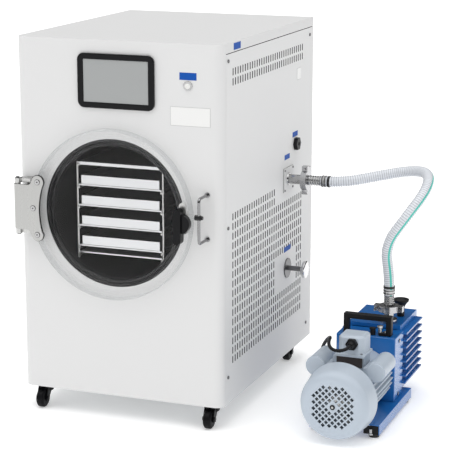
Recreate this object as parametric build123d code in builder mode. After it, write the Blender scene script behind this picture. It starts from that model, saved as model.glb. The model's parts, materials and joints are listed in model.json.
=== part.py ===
from build123d import *

import os
from math import cos, pi, radians, sin, sqrt, tan

# Home freeze dryer with its rotary-vane vacuum pump. Millimetres, +Z up, +X to the right of
# someone who faces the door, +Y to the back. Everything is laid out from the point on the floor
# below the middle of the cabinet's front face, and the whole is centred on its footprint at the end.

# ---------------------------------------------------------------- driving dimensions
# cabinet
cabinet_width = 450.0
cabinet_depth = 570.0
cabinet_height = 740.0
caster_height = 50.0
sheet = 1.2
corner_radius = 20.0
front_depth = 21.0
seam = 0.4
top_seam = 1.4
top_fold = 20.0
pan_sheet = 2.0
pan_fold = 25.0
curved_gap = 0.3
running_gap = 0.06
touch_gap = 0.3

# vents of the side panels
slot_width = 5.5
slot_height = 14.5
slot_pitch_y = 14.0
slot_pitch_z = 20.0
vent_start_y = 59.0
vent_columns = 32
main_vent_rise = 88.0
main_vent_rows = 16
step_ahead = 82.0
step_below = 44.0
window_ahead = 82.0
window_behind = 58.0
window_below = 42.0
window_above = 38.0
upper_vent_drop = 79.0
upper_vent_rows = 2
rear_slot_rows = 8
rear_slot_columns = 12
rear_slot_pitch_x = 20.0
rear_vent_rise = 130.0
panel_screw_front = 31.0
panel_screw_rear = 27.0
panel_screw_low_rear = 34.0
panel_screw_drop = 35.0
panel_screw_rear_drop = 37.0
panel_screw_rise = 58.0
panel_screw_rear_rise = 37.0
panel_screw_hole_r = 2.0
panel_screw_head_r = 3.6
panel_screw_head = 2.2
panel_screw_length = 8.0

# chamber and door share one centre line
chamber_x = -10.0
chamber_drop = 352.0
chamber_inner_r = 145.0
chamber_wall = 3.0
chamber_front_y = 20.0
chamber_length = 400.0
flange_reach = 18.0
flange_thickness = 8.0
seal_lap = 7.0
seal_reach = 8.0
seal_gap = 0.3
seal_groove = 2.6
seal_ridge = 4.0
seal_slope = 5.0
door_overhang = 22.0
door_thickness = 24.4
door_gap = 0.6
door_edge = 2.0
saddle_places = (70.0, 330.0)
saddle_thickness = 3.0
saddle_half_width = 100.0
saddle_rise = 60.0
coil_tube_r = 4.5
coil_first_y = 110.0
coil_pitch = 45.0
coil_turns = 5
coil_opening = 100.0

# rack and trays
rack_half_width = 98.0
rack_front_y = 28.0
rack_length = 350.0
shelf_pitch = 42.5
tray_count = 4
top_tray_rise = 47.0
top_plate_rise = 94.0
shelf_lip = 3.5
shelf_lip_depth = 2.0
shelf_thickness = 3.0
post_r = 2.5
rail_height = 6.0
rail_width = 3.0
base_plate_drop = 95.0
tray_height = 18.5
tray_wall = 1.0
tray_side_gap = 3.0
tray_front_gap = 2.0
tray_length = 330.0

# display and button
bezel_width = 167.0
bezel_height = 110.0
bezel_x = -1.0
bezel_drop = 82.0
bezel_proud = 6.0
bezel_corner = 14.0
housing_margin = 10.0
housing_depth = 24.0
screen_width = 141.0
screen_height = 86.0
screen_recess = 1.5
screen_thickness = 2.0
screen_gap = 0.2
button_x = 153.0
button_drop = 83.0
button_flange_r = 9.5
button_flange = 2.0
button_barrel_r = 8.0
button_barrel = 20.0
button_bore_r = 6.0
button_proud = 3.6
button_travel = 2.0

# door hinge
hinge_reach = 31.0
hinge_y = -22.0
hinge_below = 64.0
hinge_above = 51.0
hinge_pin_r = 3.0
knuckle_r = 7.0
lug_height = 11.0
lug_gap = 0.5
bracket_plate = 3.0
bracket_width = 28.0
bracket_leaf = 17.0
knuckle_clear = 2.0
door_plate = 4.0
door_plate_reach = 52.0
door_plate_corner = 3.0
door_screw_r = 4.5
door_screw_inset = 6.0
door_screw_angles = (166.0, 183.0, 199.5)
door_plate_bite = 11.0
door_screw_head = 2.0

# latch and catch
latch_inset = 10.0
latch_rise = 2.0
mount_thickness = 8.0
mount_half_width = 9.0
mount_half_height = 24.0
latch_pin_r = 4.0
tongue_thickness = 4.0
tongue_half_width = 8.0
tongue_reach = 33.0
latch_step_gap = 0.5
latch_pin_cover = 2.0
grip_proud = 5.0
hub_r = 19.0
hub_thickness = 13.0
grip_length = 72.0
grip_width = 17.0
grip_offset = 6.0
grip_drop = 6.0
catch_step = 38.0
catch_below = 38.0
catch_above = 52.0
catch_rod_r = 3.0
catch_stand_off = 45.0
catch_bend_r = 7.0
catch_foot_r = 5.5
catch_foot = 2.0
bumper_rise = 15.0
bumper_r = 5.0
bumper_left = 8.0
bumper_right = 8.0
bumper_wrap = 4.0
bumper_nub_r = 3.5

# casters
caster_x = 190.0
caster_front_y = 33.0
caster_rear_y = 528.0
wheel_r = 20.0
wheel_width = 17.0
caster_trail = 18.0
axle_r = 3.0
axle_head_r = 5.0
fork_cheek = 2.5
fork_side_gap = 0.8
caster_plate = 2.5
caster_plate_width = 44.0
swivel_r = 13.0
swivel_stem_r = 5.0
wheel_top_gap = 1.5
swivel_gap = 0.5
fork_tip_front = 7.0
fork_tip_rear = 8.0
fork_tip_half = 4.0
fork_tip_drop = 6.0
fork_back = 2.0
axle_head = 2.0
tread_edge_r = 4.0
tread_edge = 3.0

# refrigeration under the chamber
compressor_x = -90.0
compressor_y = 440.0
compressor_r = 62.0
compressor_height = 170.0
compressor_foot = 12.0
compressor_foot_r = 10.0
compressor_foot_spacing = 58.0
compressor_round = 18.0
condenser_x = 150.0
condenser_y = 215.0
condenser_width = 260.0
condenser_height = 180.0
condenser_depth = 36.0
condenser_fin_pitch = 13.0
condenser_fin = 1.0
condenser_fin_inset = 3.0
condenser_tube_r = 4.5
condenser_tubes = 4
shroud_depth = 40.0
shroud_sheet = 1.5
fan_r = 80.0
fan_tip_gap = 4.0
fan_hub_r = 22.0
fan_motor_r = 20.0
fan_motor_length = 34.0
fan_shaft_r = 3.0
fan_blades = 5
fan_blade = 1.5
fan_chord = 27.0
fan_lean = 55.0
fan_width = 18.0
fan_wall_gap = 1.5
fan_strap_half = 8.0
box_x = -20.0
box_y = 160.0
box_width = 220.0
box_depth = 160.0
box_height = 130.0
box_sheet = 1.5

# ports on the right-hand side
port_ahead = 20.0
port_rise = 14.0
port_pipe_r = 10.5
port_bore_r = 8.5
port_plate_width = 62.0
port_plate_height = 53.0
port_plate_thickness = 2.0
port_screw_r = 1.9
port_screw_head = 1.5
port_screw_inset = 4.0
port_reach = 41.0
kf_flange_r = 15.0
kf_flange = 3.0
clamp_r = 22.0
clamp_width = 13.0
clamp_ear = 12.0
clamp_ear_half = 7.0
clamp_bolt_r = 2.5
clamp_bolt_short = 12.0
clamp_bolt_long = 26.0
adapter_stub_r = 9.0
adapter_length = 36.0
pump_adapter_length = 29.0
rib_r = 11.0
rib_clear = 6.0
rib_count = 5
hose_r = 11.5
drain_ahead = 20.0
drain_below = 188.0
drain_flange_r = 22.0
drain_flange = 2.5
drain_body_r = 5.5
drain_reach = 32.0
drain_knob_r = 19.0
drain_knob = 9.0
drain_knob_neck = 9.0
drain_knob_gap = 0.5
drain_knob_boss = 2.0
drain_knob_edge = 3.0
drain_pipe_drop_x = 60.0
gland_behind = 29.0
gland_rise = 84.0
gland_across = 26.0
gland_proud = 9.0
gland_tube_r = 9.0
gland_depth = 14.0
gland_bore_r = 4.5

# vacuum pump, beside the cabinet
pump_x = 459.0
pump_front_y = -4.0
motor_z = 84.5
fan_cover_r = 76.0
fan_cover_depth = 58.0
fan_cover_wall = 2.0
fan_cover_front_r = 72.0
fan_cover_face_r = 54.0
fan_cover_shoulder = 20.0
shoulder_steps = 6
grille_hole = 6.4
grille_pitch = 9.3
grille_cells = 5
grille_corner = 6.0
motor_core_r = 55.0
motor_fin = 7.0
motor_fin_thickness = 2.5
motor_fins = 7
motor_fin_pitch = 11.0
motor_wall = 4.0
motor_lap = 6.0
motor_fin_start = 8.0
motor_fin_end = 4.0
fin_bite = 2.0
motor_foot_half = 34.0
motor_foot_start = 32.0
motor_foot_length = 84.0
motor_foot_bite = 3.6
support_y = 225.0
support_depth = 65.0
support_half_width = 64.0
support_high_z = 167.0
support_wall = 8.0
oil_case_length = 138.0
oil_case_half_width = 57.0
oil_case_low_z = 32.0
oil_case_high_z = 176.0
oil_case_wall = 8.0
case_fins = 8
case_fin_pitch = 15.5
case_fin = 3.5
case_fin_reach = 14.0
case_fin_start = 17.5
case_fin_inset = 2.0
rail_outer = 74.0
rail_start_y = 78.0
rail_end_y = 330.0
pump_rail_height = 22.0
pump_rail_sheet = 3.0
foot_height = 26.0
foot_r = 11.0
foot_top_r = 8.5
foot_inset_y = 12.0
foot_inset_x = 3.0
foot_rim = 3.0
capacitor_r = 20.0
capacitor_x = 63.0
capacitor_z = 138.0
capacitor_start_y = 80.0
capacitor_length = 80.0
capacitor_seat_reach = 28.0
capacitor_seat_inset = 8.0
capacitor_seat_low = 24.0
capacitor_seat_high = 4.0
terminal_base_z = 158.5
terminal_base = 6.0
terminal_x = 4.0
terminal_width = 54.0
terminal_depth = 52.0
terminal_start_y = 100.0
terminal_height = 37.5
terminal_chamfer = 10.0
terminal_wall = 3.0
terminal_lip_x = 4.0
terminal_lip_y = 3.0
terminal_edge = 5.0
terminal_seat_half = 32.0
terminal_seat_inset = 2.0
cord_gland_z = 186.5
cord_gland_x = 8.0
cord_gland_across = 22.0
cord_gland_hex = 9.0
cord_gland_cap_r = 7.5
cord_gland_cap = 8.0
cord_gland_lip = 1.2
handle_half_width = 52.0
handle_section = 12.0
handle_depth = 16.0
handle_rise = 43.0
handle_y = 242.0
inlet_x = 25.0
inlet_y = 312.0
inlet_base = 8.0
inlet_base_r = 18.0
inlet_neck_r = 10.5
inlet_neck = 20.0
cap_x = 37.0
cap_y = 366.0
cap_neck_r = 8.0
cap_neck = 20.0
cap_r = 17.5
cap_height = 18.0
cap_flare = 6.0
cap_edge = 3.0
sight_glass_r = 12.0
sight_glass_z = 76.0
sight_glass = 3.0
shaft_r = 7.0
rotor_r = 36.0
rotor_length = 80.0
pump_fan_r = 60.0
pump_fan_blades = 6
pump_fan_hub_r = 15.0
pump_fan_width = 16.0
pump_fan_gap = 3.0
shaft_proud = 2.0
rotor_inset = 24.0
vane_inset = 6.0
vane_end_gap = 26.0
shaft_end_gap = 20.0
vane_rotor_r = 24.0

# cords
cord_r = 3.5
coil_outer_r = 45.0
coil_inner_r = 31.0
coil_height = 14.0
coil_x = 415.0
coil_y = 480.0
plug_length = 34.0
plug_width = 24.0
plug_thickness = 18.0
plug_boot = 26.0
plug_ahead = 8.0
plug_boot_r = 5.5
pin_r = 2.4
pin_length = 19.0
pin_spacing = 19.0

# ---------------------------------------------------------------- shared places
base_z = caster_height
top_z = base_z + cabinet_height
half_width = cabinet_width / 2
panel_start_y = front_depth + seam
panel_top_z = top_z - top_fold - top_seam
chamber_outer_r = chamber_inner_r + chamber_wall
pan_floor_z = base_z + pan_sheet
main_vent_z = base_z + main_vent_rise
upper_vent_z = top_z - upper_vent_drop
rear_vent_z = base_z + rear_vent_rise
chamber_z = top_z - chamber_drop
chamber_rear_y = chamber_front_y + chamber_length
flange_r = chamber_outer_r + flange_reach
seal_inner_r = chamber_inner_r - seal_lap
seal_outer_r = chamber_inner_r + seal_reach
door_r = seal_outer_r + door_overhang
top_tray_z = chamber_z + top_tray_rise
top_plate_z = chamber_z + top_plate_rise
base_plate_z = chamber_z - base_plate_drop
bezel_z = top_z - bezel_drop
button_z = top_z - button_drop
hinge_x = chamber_x - door_r - hinge_reach
hinge_low_z = chamber_z - hinge_below
hinge_high_z = chamber_z + hinge_above
latch_x = chamber_x + door_r - latch_inset
latch_z = chamber_z + latch_rise
catch_x = latch_x + catch_step
catch_low_z = latch_z - catch_below
catch_high_z = latch_z + catch_above
bumper_z = latch_z + bumper_rise
port_y = chamber_rear_y - port_ahead
port_z = chamber_z + port_rise
drain_y = chamber_rear_y - drain_ahead
drain_z = chamber_z - drain_below
gland_y = chamber_rear_y + gland_behind
gland_z = chamber_z + gland_rise
pieces = {}


def facing_front(x, y, z):
    """A plane that faces the front: its own x is X and its own y is Z."""
    return Plane(origin=(x, y, z), x_dir=(1, 0, 0), z_dir=(0, -1, 0))


def facing_right(x, y, z):
    """A plane that faces right: its own x is Y and its own y is Z."""
    return Plane(origin=(x, y, z), x_dir=(0, 1, 0), z_dir=(1, 0, 0))


def facing_up(x, y, z):
    return Plane(origin=(x, y, z), x_dir=(1, 0, 0), z_dir=(0, 0, 1))


def turning(x, y, z, along):
    """A plane for turned profiles: its own x is the radius and its own y runs along the axis."""
    if along == "X":
        return Plane(origin=(x, y, z), x_dir=(0, 0, 1), z_dir=(0, 1, 0))
    if along == "Y":
        return Plane(origin=(x, y, z), x_dir=(1, 0, 0), z_dir=(0, 0, 1))
    return Plane(origin=(x, y, z), x_dir=(1, 0, 0), z_dir=(0, -1, 0))


def turn(points, plane, mode=Mode.ADD):
    """Turn a closed (radius, distance) outline about the plane's own y axis."""
    with BuildSketch(plane) as outline:
        with BuildLine():
            Polyline(*points, close=True)
        make_face()
    revolve(outline.sketch, axis=Axis(plane.origin, plane.y_dir), mode=mode)


def rod(start, end, radius, mode=Mode.ADD):
    """A round bar between two points."""
    line = Vector(*end) - Vector(*start)
    with BuildSketch(Plane(origin=start, z_dir=line)) as section:
        Circle(radius)
    extrude(section.sketch, amount=line.length, mode=mode)


def block(low, high, mode=Mode.ADD):
    """A box between two corners."""
    with BuildSketch(facing_up((low[0] + high[0]) / 2, (low[1] + high[1]) / 2, low[2])) as footprint:
        Rectangle(high[0] - low[0], high[1] - low[1])
    extrude(footprint.sketch, amount=high[2] - low[2], mode=mode)


def keep(name, builder):
    pieces[name] = builder.part


# ---------------------------------------------------------------- floor pan with the chamber's saddles
pan_half_width = half_width - sheet
pan_rear_y = cabinet_depth - sheet
with BuildPart() as base_frame:
    with BuildSketch(Plane.XY.offset(base_z)):
        with Locations((0, (sheet + pan_rear_y) / 2)):
            Rectangle(2 * pan_half_width, pan_rear_y - sheet)
        fillet(vertices().group_by(Axis.Y)[0], corner_radius)
    extrude(amount=pan_fold)
    block(
        (-pan_half_width + pan_sheet, sheet + pan_sheet, pan_floor_z),
        (pan_half_width - pan_sheet, pan_rear_y - pan_sheet, base_z + pan_fold),
        Mode.SUBTRACT,
    )
    for saddle_y in saddle_places:
        with BuildSketch(facing_front(chamber_x, saddle_y, 0)):
            with Locations((0, (pan_floor_z + chamber_z - saddle_rise) / 2)):
                Rectangle(2 * saddle_half_width, chamber_z - saddle_rise - pan_floor_z)
            with Locations((0, chamber_z)):
                Circle(chamber_outer_r + curved_gap, mode=Mode.SUBTRACT)
        extrude(amount=saddle_thickness)
keep("base_frame", base_frame)

# ---------------------------------------------------------------- front panel
housing_width = bezel_width - 2 * housing_margin
housing_height = bezel_height - 2 * housing_margin
with BuildPart() as front_panel:
    with BuildSketch(Plane.XY.offset(base_z)):
        with Locations((0, front_depth / 2)):
            Rectangle(cabinet_width, front_depth)
        fillet(vertices().group_by(Axis.Y)[0], corner_radius)
    extrude(amount=cabinet_height)
    with BuildSketch(Plane.XY.offset(base_z)):
        with Locations((0, sheet + front_depth / 2)):
            Rectangle(cabinet_width - 2 * sheet, front_depth)
        fillet(vertices().group_by(Axis.Y)[0], corner_radius - sheet)
    extrude(amount=cabinet_height - sheet, mode=Mode.SUBTRACT)
    with BuildSketch(facing_front(0, 0, 0)):
        with Locations((chamber_x, chamber_z)):
            Circle(seal_outer_r + touch_gap)
        with Locations((bezel_x, bezel_z)):
            Rectangle(housing_width + seam, housing_height + seam)
        with Locations((button_x, button_z)):
            Circle(button_barrel_r + touch_gap)
    extrude(amount=-2 * sheet, mode=Mode.SUBTRACT)
keep("front_panel", front_panel)

# ---------------------------------------------------------------- top cover
with BuildPart() as top_cover:
    block((-half_width, panel_start_y, top_z - top_fold), (half_width, cabinet_depth, top_z))
    block(
        (-half_width + sheet, panel_start_y - 1, top_z - top_fold - 1),
        (half_width - sheet, cabinet_depth - sheet, top_z - sheet),
        Mode.SUBTRACT,
    )
keep("top_cover", top_cover)


# ---------------------------------------------------------------- side and rear panels
def slot_centres(rows, first_z):
    """Centres of a field of upright slots."""
    columns = [vent_start_y + column * slot_pitch_y for column in range(vent_columns)]
    return [(y, first_z + row * slot_pitch_z) for row in range(rows) for y in columns]


def kept_plain(y, z):
    """The plain step behind and above the vacuum port's corner, and the window around the drain."""
    in_step = y > port_y - step_ahead and z > port_z - step_below
    in_window_y = drain_y - window_ahead < y < drain_y + window_behind
    in_window_z = drain_z - window_below < z < drain_z + window_above
    return in_step or (in_window_y and in_window_z)


main_slots = [(y, z) for y, z in slot_centres(main_vent_rows, main_vent_z) if not kept_plain(y, z)]
upper_slots = slot_centres(upper_vent_rows, upper_vent_z)
panel_mid_y = (panel_start_y + cabinet_depth) / 2
panel_mid_z = (base_z + panel_top_z) / 2
panel_screw_places = [
    (panel_screw_front, top_z - panel_screw_drop),
    (cabinet_depth - panel_screw_rear, top_z - panel_screw_rear_drop),
    (panel_screw_front, (base_z + top_z) / 2),
    (cabinet_depth - panel_screw_low_rear, base_z + panel_screw_rear_rise),
    (panel_screw_front, base_z + panel_screw_rise),
]
screw_holes = [(y, z, panel_screw_hole_r) for y, z in panel_screw_places]
gland_hole_r = gland_tube_r + touch_gap
def side_sheet(start_x, slots, round_holes):
    """A side panel as one face with its slots and round holes as inner wires, made thick."""
    outline = Wire.make_rect(
        cabinet_depth - panel_start_y,
        panel_top_z - base_z,
        facing_right(start_x, panel_mid_y, panel_mid_z),
    )
    inner = [Wire.make_rect(slot_width, slot_height, facing_right(start_x, y, z)) for y, z in slots]
    inner += [Wire.make_circle(radius, facing_right(start_x, y, z)) for y, z, radius in round_holes]
    extrude(Face(outline, inner), amount=sheet, dir=(1, 0, 0))


pipe_holes = [
    (port_y, port_z, port_pipe_r + touch_gap),
    (drain_y, drain_z, drain_body_r + touch_gap),
    (gland_y, gland_z, gland_hole_r),
]
with BuildPart() as right_panel:
    side_sheet(half_width - sheet, main_slots + upper_slots, screw_holes + pipe_holes)
keep("right_panel", right_panel)

with BuildPart() as left_panel:
    side_sheet(-half_width, upper_slots, screw_holes)
keep("left_panel", left_panel)

with BuildPart() as rear_panel:
    with BuildSketch(facing_front(0, cabinet_depth - sheet, 0)):
        with Locations((0, panel_mid_z)):
            Rectangle(2 * pan_half_width, panel_top_z - base_z)
        with Locations((0, rear_vent_z)):
            with GridLocations(rear_slot_pitch_x, slot_pitch_z, rear_slot_columns, rear_slot_rows):
                Rectangle(slot_height, slot_width, mode=Mode.SUBTRACT)
    extrude(amount=-sheet)
keep("rear_panel", rear_panel)

with BuildPart() as panel_screws:
    for side in (-1, 1):
        for screw_y, screw_z in panel_screw_places:
            outer_x = side * half_width
            rod(
                (outer_x - side * panel_screw_length, screw_y, screw_z),
                (outer_x, screw_y, screw_z),
                panel_screw_hole_r - touch_gap,
            )
            rod(
                (outer_x, screw_y, screw_z),
                (outer_x + side * panel_screw_head, screw_y, screw_z),
                panel_screw_head_r,
            )
keep("panel_screws", panel_screws)

# ---------------------------------------------------------------- display and power button
button_rear_y = button_barrel - sheet - button_travel - touch_gap
with BuildPart() as display_bezel:
    with BuildSketch(facing_front(bezel_x, 0, bezel_z)):
        RectangleRounded(bezel_width, bezel_height, bezel_corner)
    extrude(amount=bezel_proud)
    with BuildSketch(facing_front(bezel_x, 0, bezel_z)):
        Rectangle(housing_width, housing_height)
    extrude(amount=-housing_depth)
    with BuildSketch(facing_front(bezel_x, -bezel_proud, bezel_z)):
        Rectangle(screen_width + 2 * screen_gap, screen_height + 2 * screen_gap)
    extrude(amount=-(screen_recess + screen_thickness), mode=Mode.SUBTRACT)
keep("display_bezel", display_bezel)

with BuildPart() as display_screen:
    with BuildSketch(facing_front(bezel_x, screen_recess - bezel_proud, bezel_z)):
        Rectangle(screen_width, screen_height)
    extrude(amount=-screen_thickness)
keep("display_screen", display_screen)

with BuildPart() as button_bezel:
    turn(
        [
            (button_bore_r, -button_flange),
            (button_flange_r, -button_flange),
            (button_flange_r, 0),
            (button_barrel_r, 0),
            (button_barrel_r, button_barrel),
            (0, button_barrel),
            (0, button_barrel - sheet),
            (button_bore_r, button_barrel - sheet),
        ],
        turning(button_x, 0, button_z, "Y"),
    )
keep("button_bezel", button_bezel)

with BuildPart() as power_button:
    rod(
        (button_x, -button_proud, button_z),
        (button_x, button_rear_y, button_z),
        button_bore_r - running_gap,
    )
keep("power_button", power_button)

# ---------------------------------------------------------------- vacuum chamber, seal and cooling coil
with BuildPart() as vacuum_chamber:
    turn(
        [
            (chamber_inner_r, chamber_front_y),
            (flange_r, chamber_front_y),
            (flange_r, chamber_front_y + flange_thickness),
            (chamber_outer_r, chamber_front_y + flange_thickness),
            (chamber_outer_r, chamber_rear_y),
            (0, chamber_rear_y),
            (0, chamber_rear_y - chamber_wall),
            (chamber_inner_r, chamber_rear_y - chamber_wall),
        ],
        turning(chamber_x, 0, chamber_z, "Y"),
    )
keep("vacuum_chamber", vacuum_chamber)

seal_front_y = seal_gap - door_gap
with BuildPart() as door_seal:
    turn(
        [
            (seal_inner_r, seal_front_y + seal_slope),
            (seal_inner_r + seal_ridge / 2, seal_front_y),
            (seal_inner_r + 1.5 * seal_ridge, seal_front_y),
            (seal_inner_r + 2 * seal_ridge, seal_front_y + seal_groove),
            (seal_outer_r - 1.5 * seal_ridge, seal_front_y + seal_groove),
            (seal_outer_r - seal_ridge, seal_front_y),
            (seal_outer_r - 1, seal_front_y),
            (seal_outer_r, seal_front_y + 1),
            (seal_outer_r, chamber_front_y),
            (seal_inner_r, chamber_front_y),
        ],
        turning(chamber_x, 0, chamber_z, "Y"),
    )
keep("door_seal", door_seal)

coil_mid_r = chamber_outer_r + coil_tube_r + curved_gap
header_turn = radians(coil_opening / 2)
with BuildPart() as evaporator_coil:
    for turn_number in range(coil_turns):
        ring_y = coil_first_y + turn_number * coil_pitch
        with BuildSketch(
            Plane(
                origin=(chamber_x, ring_y, chamber_z),
                x_dir=(sin(header_turn), 0, -cos(header_turn)),
                z_dir=(-cos(header_turn), 0, -sin(header_turn)),
            )
        ):
            with Locations((coil_mid_r, 0)):
                Circle(coil_tube_r)
        revolve(axis=Axis((chamber_x, ring_y, chamber_z), (0, -1, 0)), revolution_arc=360 - coil_opening)
    for side in (-1, 1):
        header_x = chamber_x + side * coil_mid_r * sin(header_turn)
        header_z = chamber_z - coil_mid_r * cos(header_turn)
        last_y = coil_first_y + (coil_turns - 1) * coil_pitch
        rod(
            (header_x, coil_first_y - coil_tube_r, header_z),
            (header_x, last_y + coil_tube_r, header_z),
            coil_tube_r,
        )
keep("evaporator_coil", evaporator_coil)

# ---------------------------------------------------------------- rack, shelves and trays
post_x = rack_half_width - post_r
post_ys = (rack_front_y + post_r, rack_front_y + rack_length - post_r)
post_foot_z = chamber_z - sqrt((chamber_inner_r - curved_gap) ** 2 - rack_half_width**2)
shelf_half_width = post_x - post_r
tray_levels = [top_tray_z - n * shelf_pitch for n in range(tray_count)]
shelf_levels = [base_plate_z, top_plate_z] + tray_levels
rack_mid_y = rack_front_y + rack_length / 2
post_spacing_y = post_ys[1] - post_ys[0]
with BuildPart() as rack_frame:
    with BuildSketch(facing_up(chamber_x, rack_mid_y, post_foot_z)) as posts:
        with GridLocations(2 * post_x, post_spacing_y, 2, 2):
            Circle(post_r)
    extrude(posts.sketch, amount=top_plate_z + shelf_thickness - post_foot_z)
    with BuildSketch(facing_front(chamber_x, post_ys[0] - post_r, 0)) as rails:
        for level in shelf_levels:
            for side in (-1, 1):
                with Locations((side * (shelf_half_width - rail_width / 2), level - rail_height / 2)):
                    Rectangle(rail_width, rail_height)
    extrude(rails.sketch, amount=-(post_spacing_y + 2 * post_r))
    with BuildSketch(facing_right(chamber_x - post_x, 0, 0)) as joints:
        for level in shelf_levels:
            with Locations(*[(post_y, level - rail_height / 2) for post_y in post_ys]):
                Circle(rail_height / 2)
    stub_length = post_x - shelf_half_width + rail_width
    extrude(joints.sketch, amount=stub_length)
    with BuildSketch(facing_right(chamber_x + post_x - stub_length, 0, 0)) as far_joints:
        for level in shelf_levels:
            with Locations(*[(post_y, level - rail_height / 2) for post_y in post_ys]):
                Circle(rail_height / 2)
    extrude(far_joints.sketch, amount=stub_length)
keep("rack_frame", rack_frame)

with BuildPart() as shelf_plates:
    for level in shelf_levels:
        block(
            (chamber_x - shelf_half_width + touch_gap, rack_front_y, level),
            (chamber_x + shelf_half_width - touch_gap, rack_front_y + rack_length, level + shelf_thickness),
        )
    lip_half_width = shelf_half_width - rail_width - touch_gap
    block(
        (chamber_x - lip_half_width, rack_front_y, top_plate_z - shelf_lip),
        (chamber_x + lip_half_width, rack_front_y + shelf_lip_depth, top_plate_z),
    )
keep("shelf_plates", shelf_plates)

tray_half_width = shelf_half_width - rail_width - tray_side_gap
tray_start_y = rack_front_y + tray_front_gap
with BuildPart() as trays:
    for level in tray_levels:
        tray_z = level + shelf_thickness
        block(
            (chamber_x - tray_half_width, tray_start_y, tray_z),
            (chamber_x + tray_half_width, tray_start_y + tray_length, tray_z + tray_height),
        )
        block(
            (chamber_x - tray_half_width + tray_wall, tray_start_y + tray_wall, tray_z + tray_wall),
            (
                chamber_x + tray_half_width - tray_wall,
                tray_start_y + tray_length - tray_wall,
                tray_z + tray_height + 1,
            ),
            Mode.SUBTRACT,
        )
keep("trays", trays)

# ---------------------------------------------------------------- refrigeration and control box
with BuildPart() as compressor:
    turn(
        [
            (0, 0),
            (compressor_r - compressor_round, 0),
            (compressor_r, compressor_round),
            (compressor_r, compressor_height - 2 * compressor_round),
            (compressor_r - compressor_round / 2, compressor_height - compressor_round / 2),
            (compressor_r - 2 * compressor_round, compressor_height),
            (0, compressor_height),
        ],
        turning(compressor_x, compressor_y, pan_floor_z + compressor_foot, "Z"),
    )
    with BuildSketch(facing_up(compressor_x, compressor_y, pan_floor_z)) as feet:
        with GridLocations(compressor_foot_spacing, compressor_foot_spacing, 2, 2):
            Circle(compressor_foot_r)
    extrude(feet.sketch, amount=compressor_foot + 1)
keep("compressor", compressor)

condenser_low_z = pan_floor_z
condenser_mid_z = condenser_low_z + condenser_height / 2
fin_count = int(condenser_width // condenser_fin_pitch)
shroud_x = condenser_x - condenser_depth / 2
with BuildPart() as condenser:
    for side in (-1, 1):
        end_y = condenser_y + side * (condenser_width - shroud_sheet) / 2
        block(
            (shroud_x, end_y - shroud_sheet / 2, condenser_low_z),
            (condenser_x + condenser_depth / 2, end_y + shroud_sheet / 2, condenser_low_z + condenser_height),
        )
    with BuildSketch(facing_up(condenser_x, condenser_y, condenser_low_z + condenser_fin_inset)) as fins:
        with GridLocations(0, condenser_fin_pitch, 1, fin_count - 1):
            Rectangle(condenser_depth - 2 * condenser_fin_inset, condenser_fin)
    extrude(fins.sketch, amount=condenser_height - 2 * condenser_fin_inset)
    with BuildSketch(facing_front(condenser_x, condenser_y - condenser_width / 2, condenser_mid_z)) as tubes:
        with GridLocations(0, condenser_height / condenser_tubes, 1, condenser_tubes):
            Circle(condenser_tube_r)
    extrude(tubes.sketch, amount=-condenser_width)
    block(
        (shroud_x - shroud_depth, condenser_y - condenser_width / 2, condenser_low_z),
        (shroud_x, condenser_y + condenser_width / 2, condenser_low_z + condenser_height),
    )
    block(
        (
            shroud_x - shroud_depth + shroud_sheet,
            condenser_y - condenser_width / 2 + shroud_sheet,
            condenser_low_z + shroud_sheet,
        ),
        (
            shroud_x + condenser_fin_inset / 2,
            condenser_y + condenser_width / 2 - shroud_sheet,
            condenser_low_z + condenser_height - shroud_sheet,
        ),
        Mode.SUBTRACT,
    )
    rod(
        (shroud_x - shroud_depth - 1, condenser_y, condenser_mid_z),
        (shroud_x - shroud_depth + shroud_sheet + 1, condenser_y, condenser_mid_z),
        fan_r + fan_tip_gap,
        Mode.SUBTRACT,
    )
    motor_face_x = shroud_x - shroud_depth - fan_motor_length
    rod(
        (motor_face_x, condenser_y, condenser_mid_z),
        (shroud_x - shroud_depth + shroud_sheet, condenser_y, condenser_mid_z),
        fan_motor_r,
    )
    block(
        (shroud_x - shroud_depth - shroud_sheet, condenser_y - fan_strap_half, condenser_low_z),
        (shroud_x - shroud_depth, condenser_y + fan_strap_half, condenser_low_z + condenser_height),
    )
    rod(
        (motor_face_x + 4, condenser_y, condenser_mid_z),
        (shroud_x - shroud_depth + shroud_sheet + 1, condenser_y, condenser_mid_z),
        fan_shaft_r + running_gap,
        Mode.SUBTRACT,
    )
keep("condenser", condenser)

fan_start_x = shroud_x - shroud_depth + shroud_sheet + fan_wall_gap
fan_mid_x = fan_start_x + fan_width / 2
with BuildPart() as condenser_fan:
    rod(
        (fan_start_x, condenser_y, condenser_mid_z),
        (fan_start_x + fan_width, condenser_y, condenser_mid_z),
        fan_hub_r,
    )
    rod(
        (motor_face_x + 6, condenser_y, condenser_mid_z),
        (fan_mid_x, condenser_y, condenser_mid_z),
        fan_shaft_r,
    )
    for number in range(fan_blades):
        turned = 2 * pi * number / fan_blades
        outward = Vector(0, cos(turned), sin(turned))
        sideways = Vector(0, -sin(turned), cos(turned))
        blade_normal = Vector(sin(radians(fan_lean)), 0, 0) - sideways * cos(radians(fan_lean))
        blade = Plane(origin=(fan_mid_x, condenser_y, condenser_mid_z), x_dir=outward, z_dir=blade_normal)
        with BuildSketch(blade) as blade_face:
            with Locations(((fan_hub_r + fan_r) / 2 - 2, 0)):
                Rectangle(fan_r - fan_hub_r + 4, fan_chord)
        extrude(blade_face.sketch, amount=fan_blade / 2, both=True)
keep("condenser_fan", condenser_fan)

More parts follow.
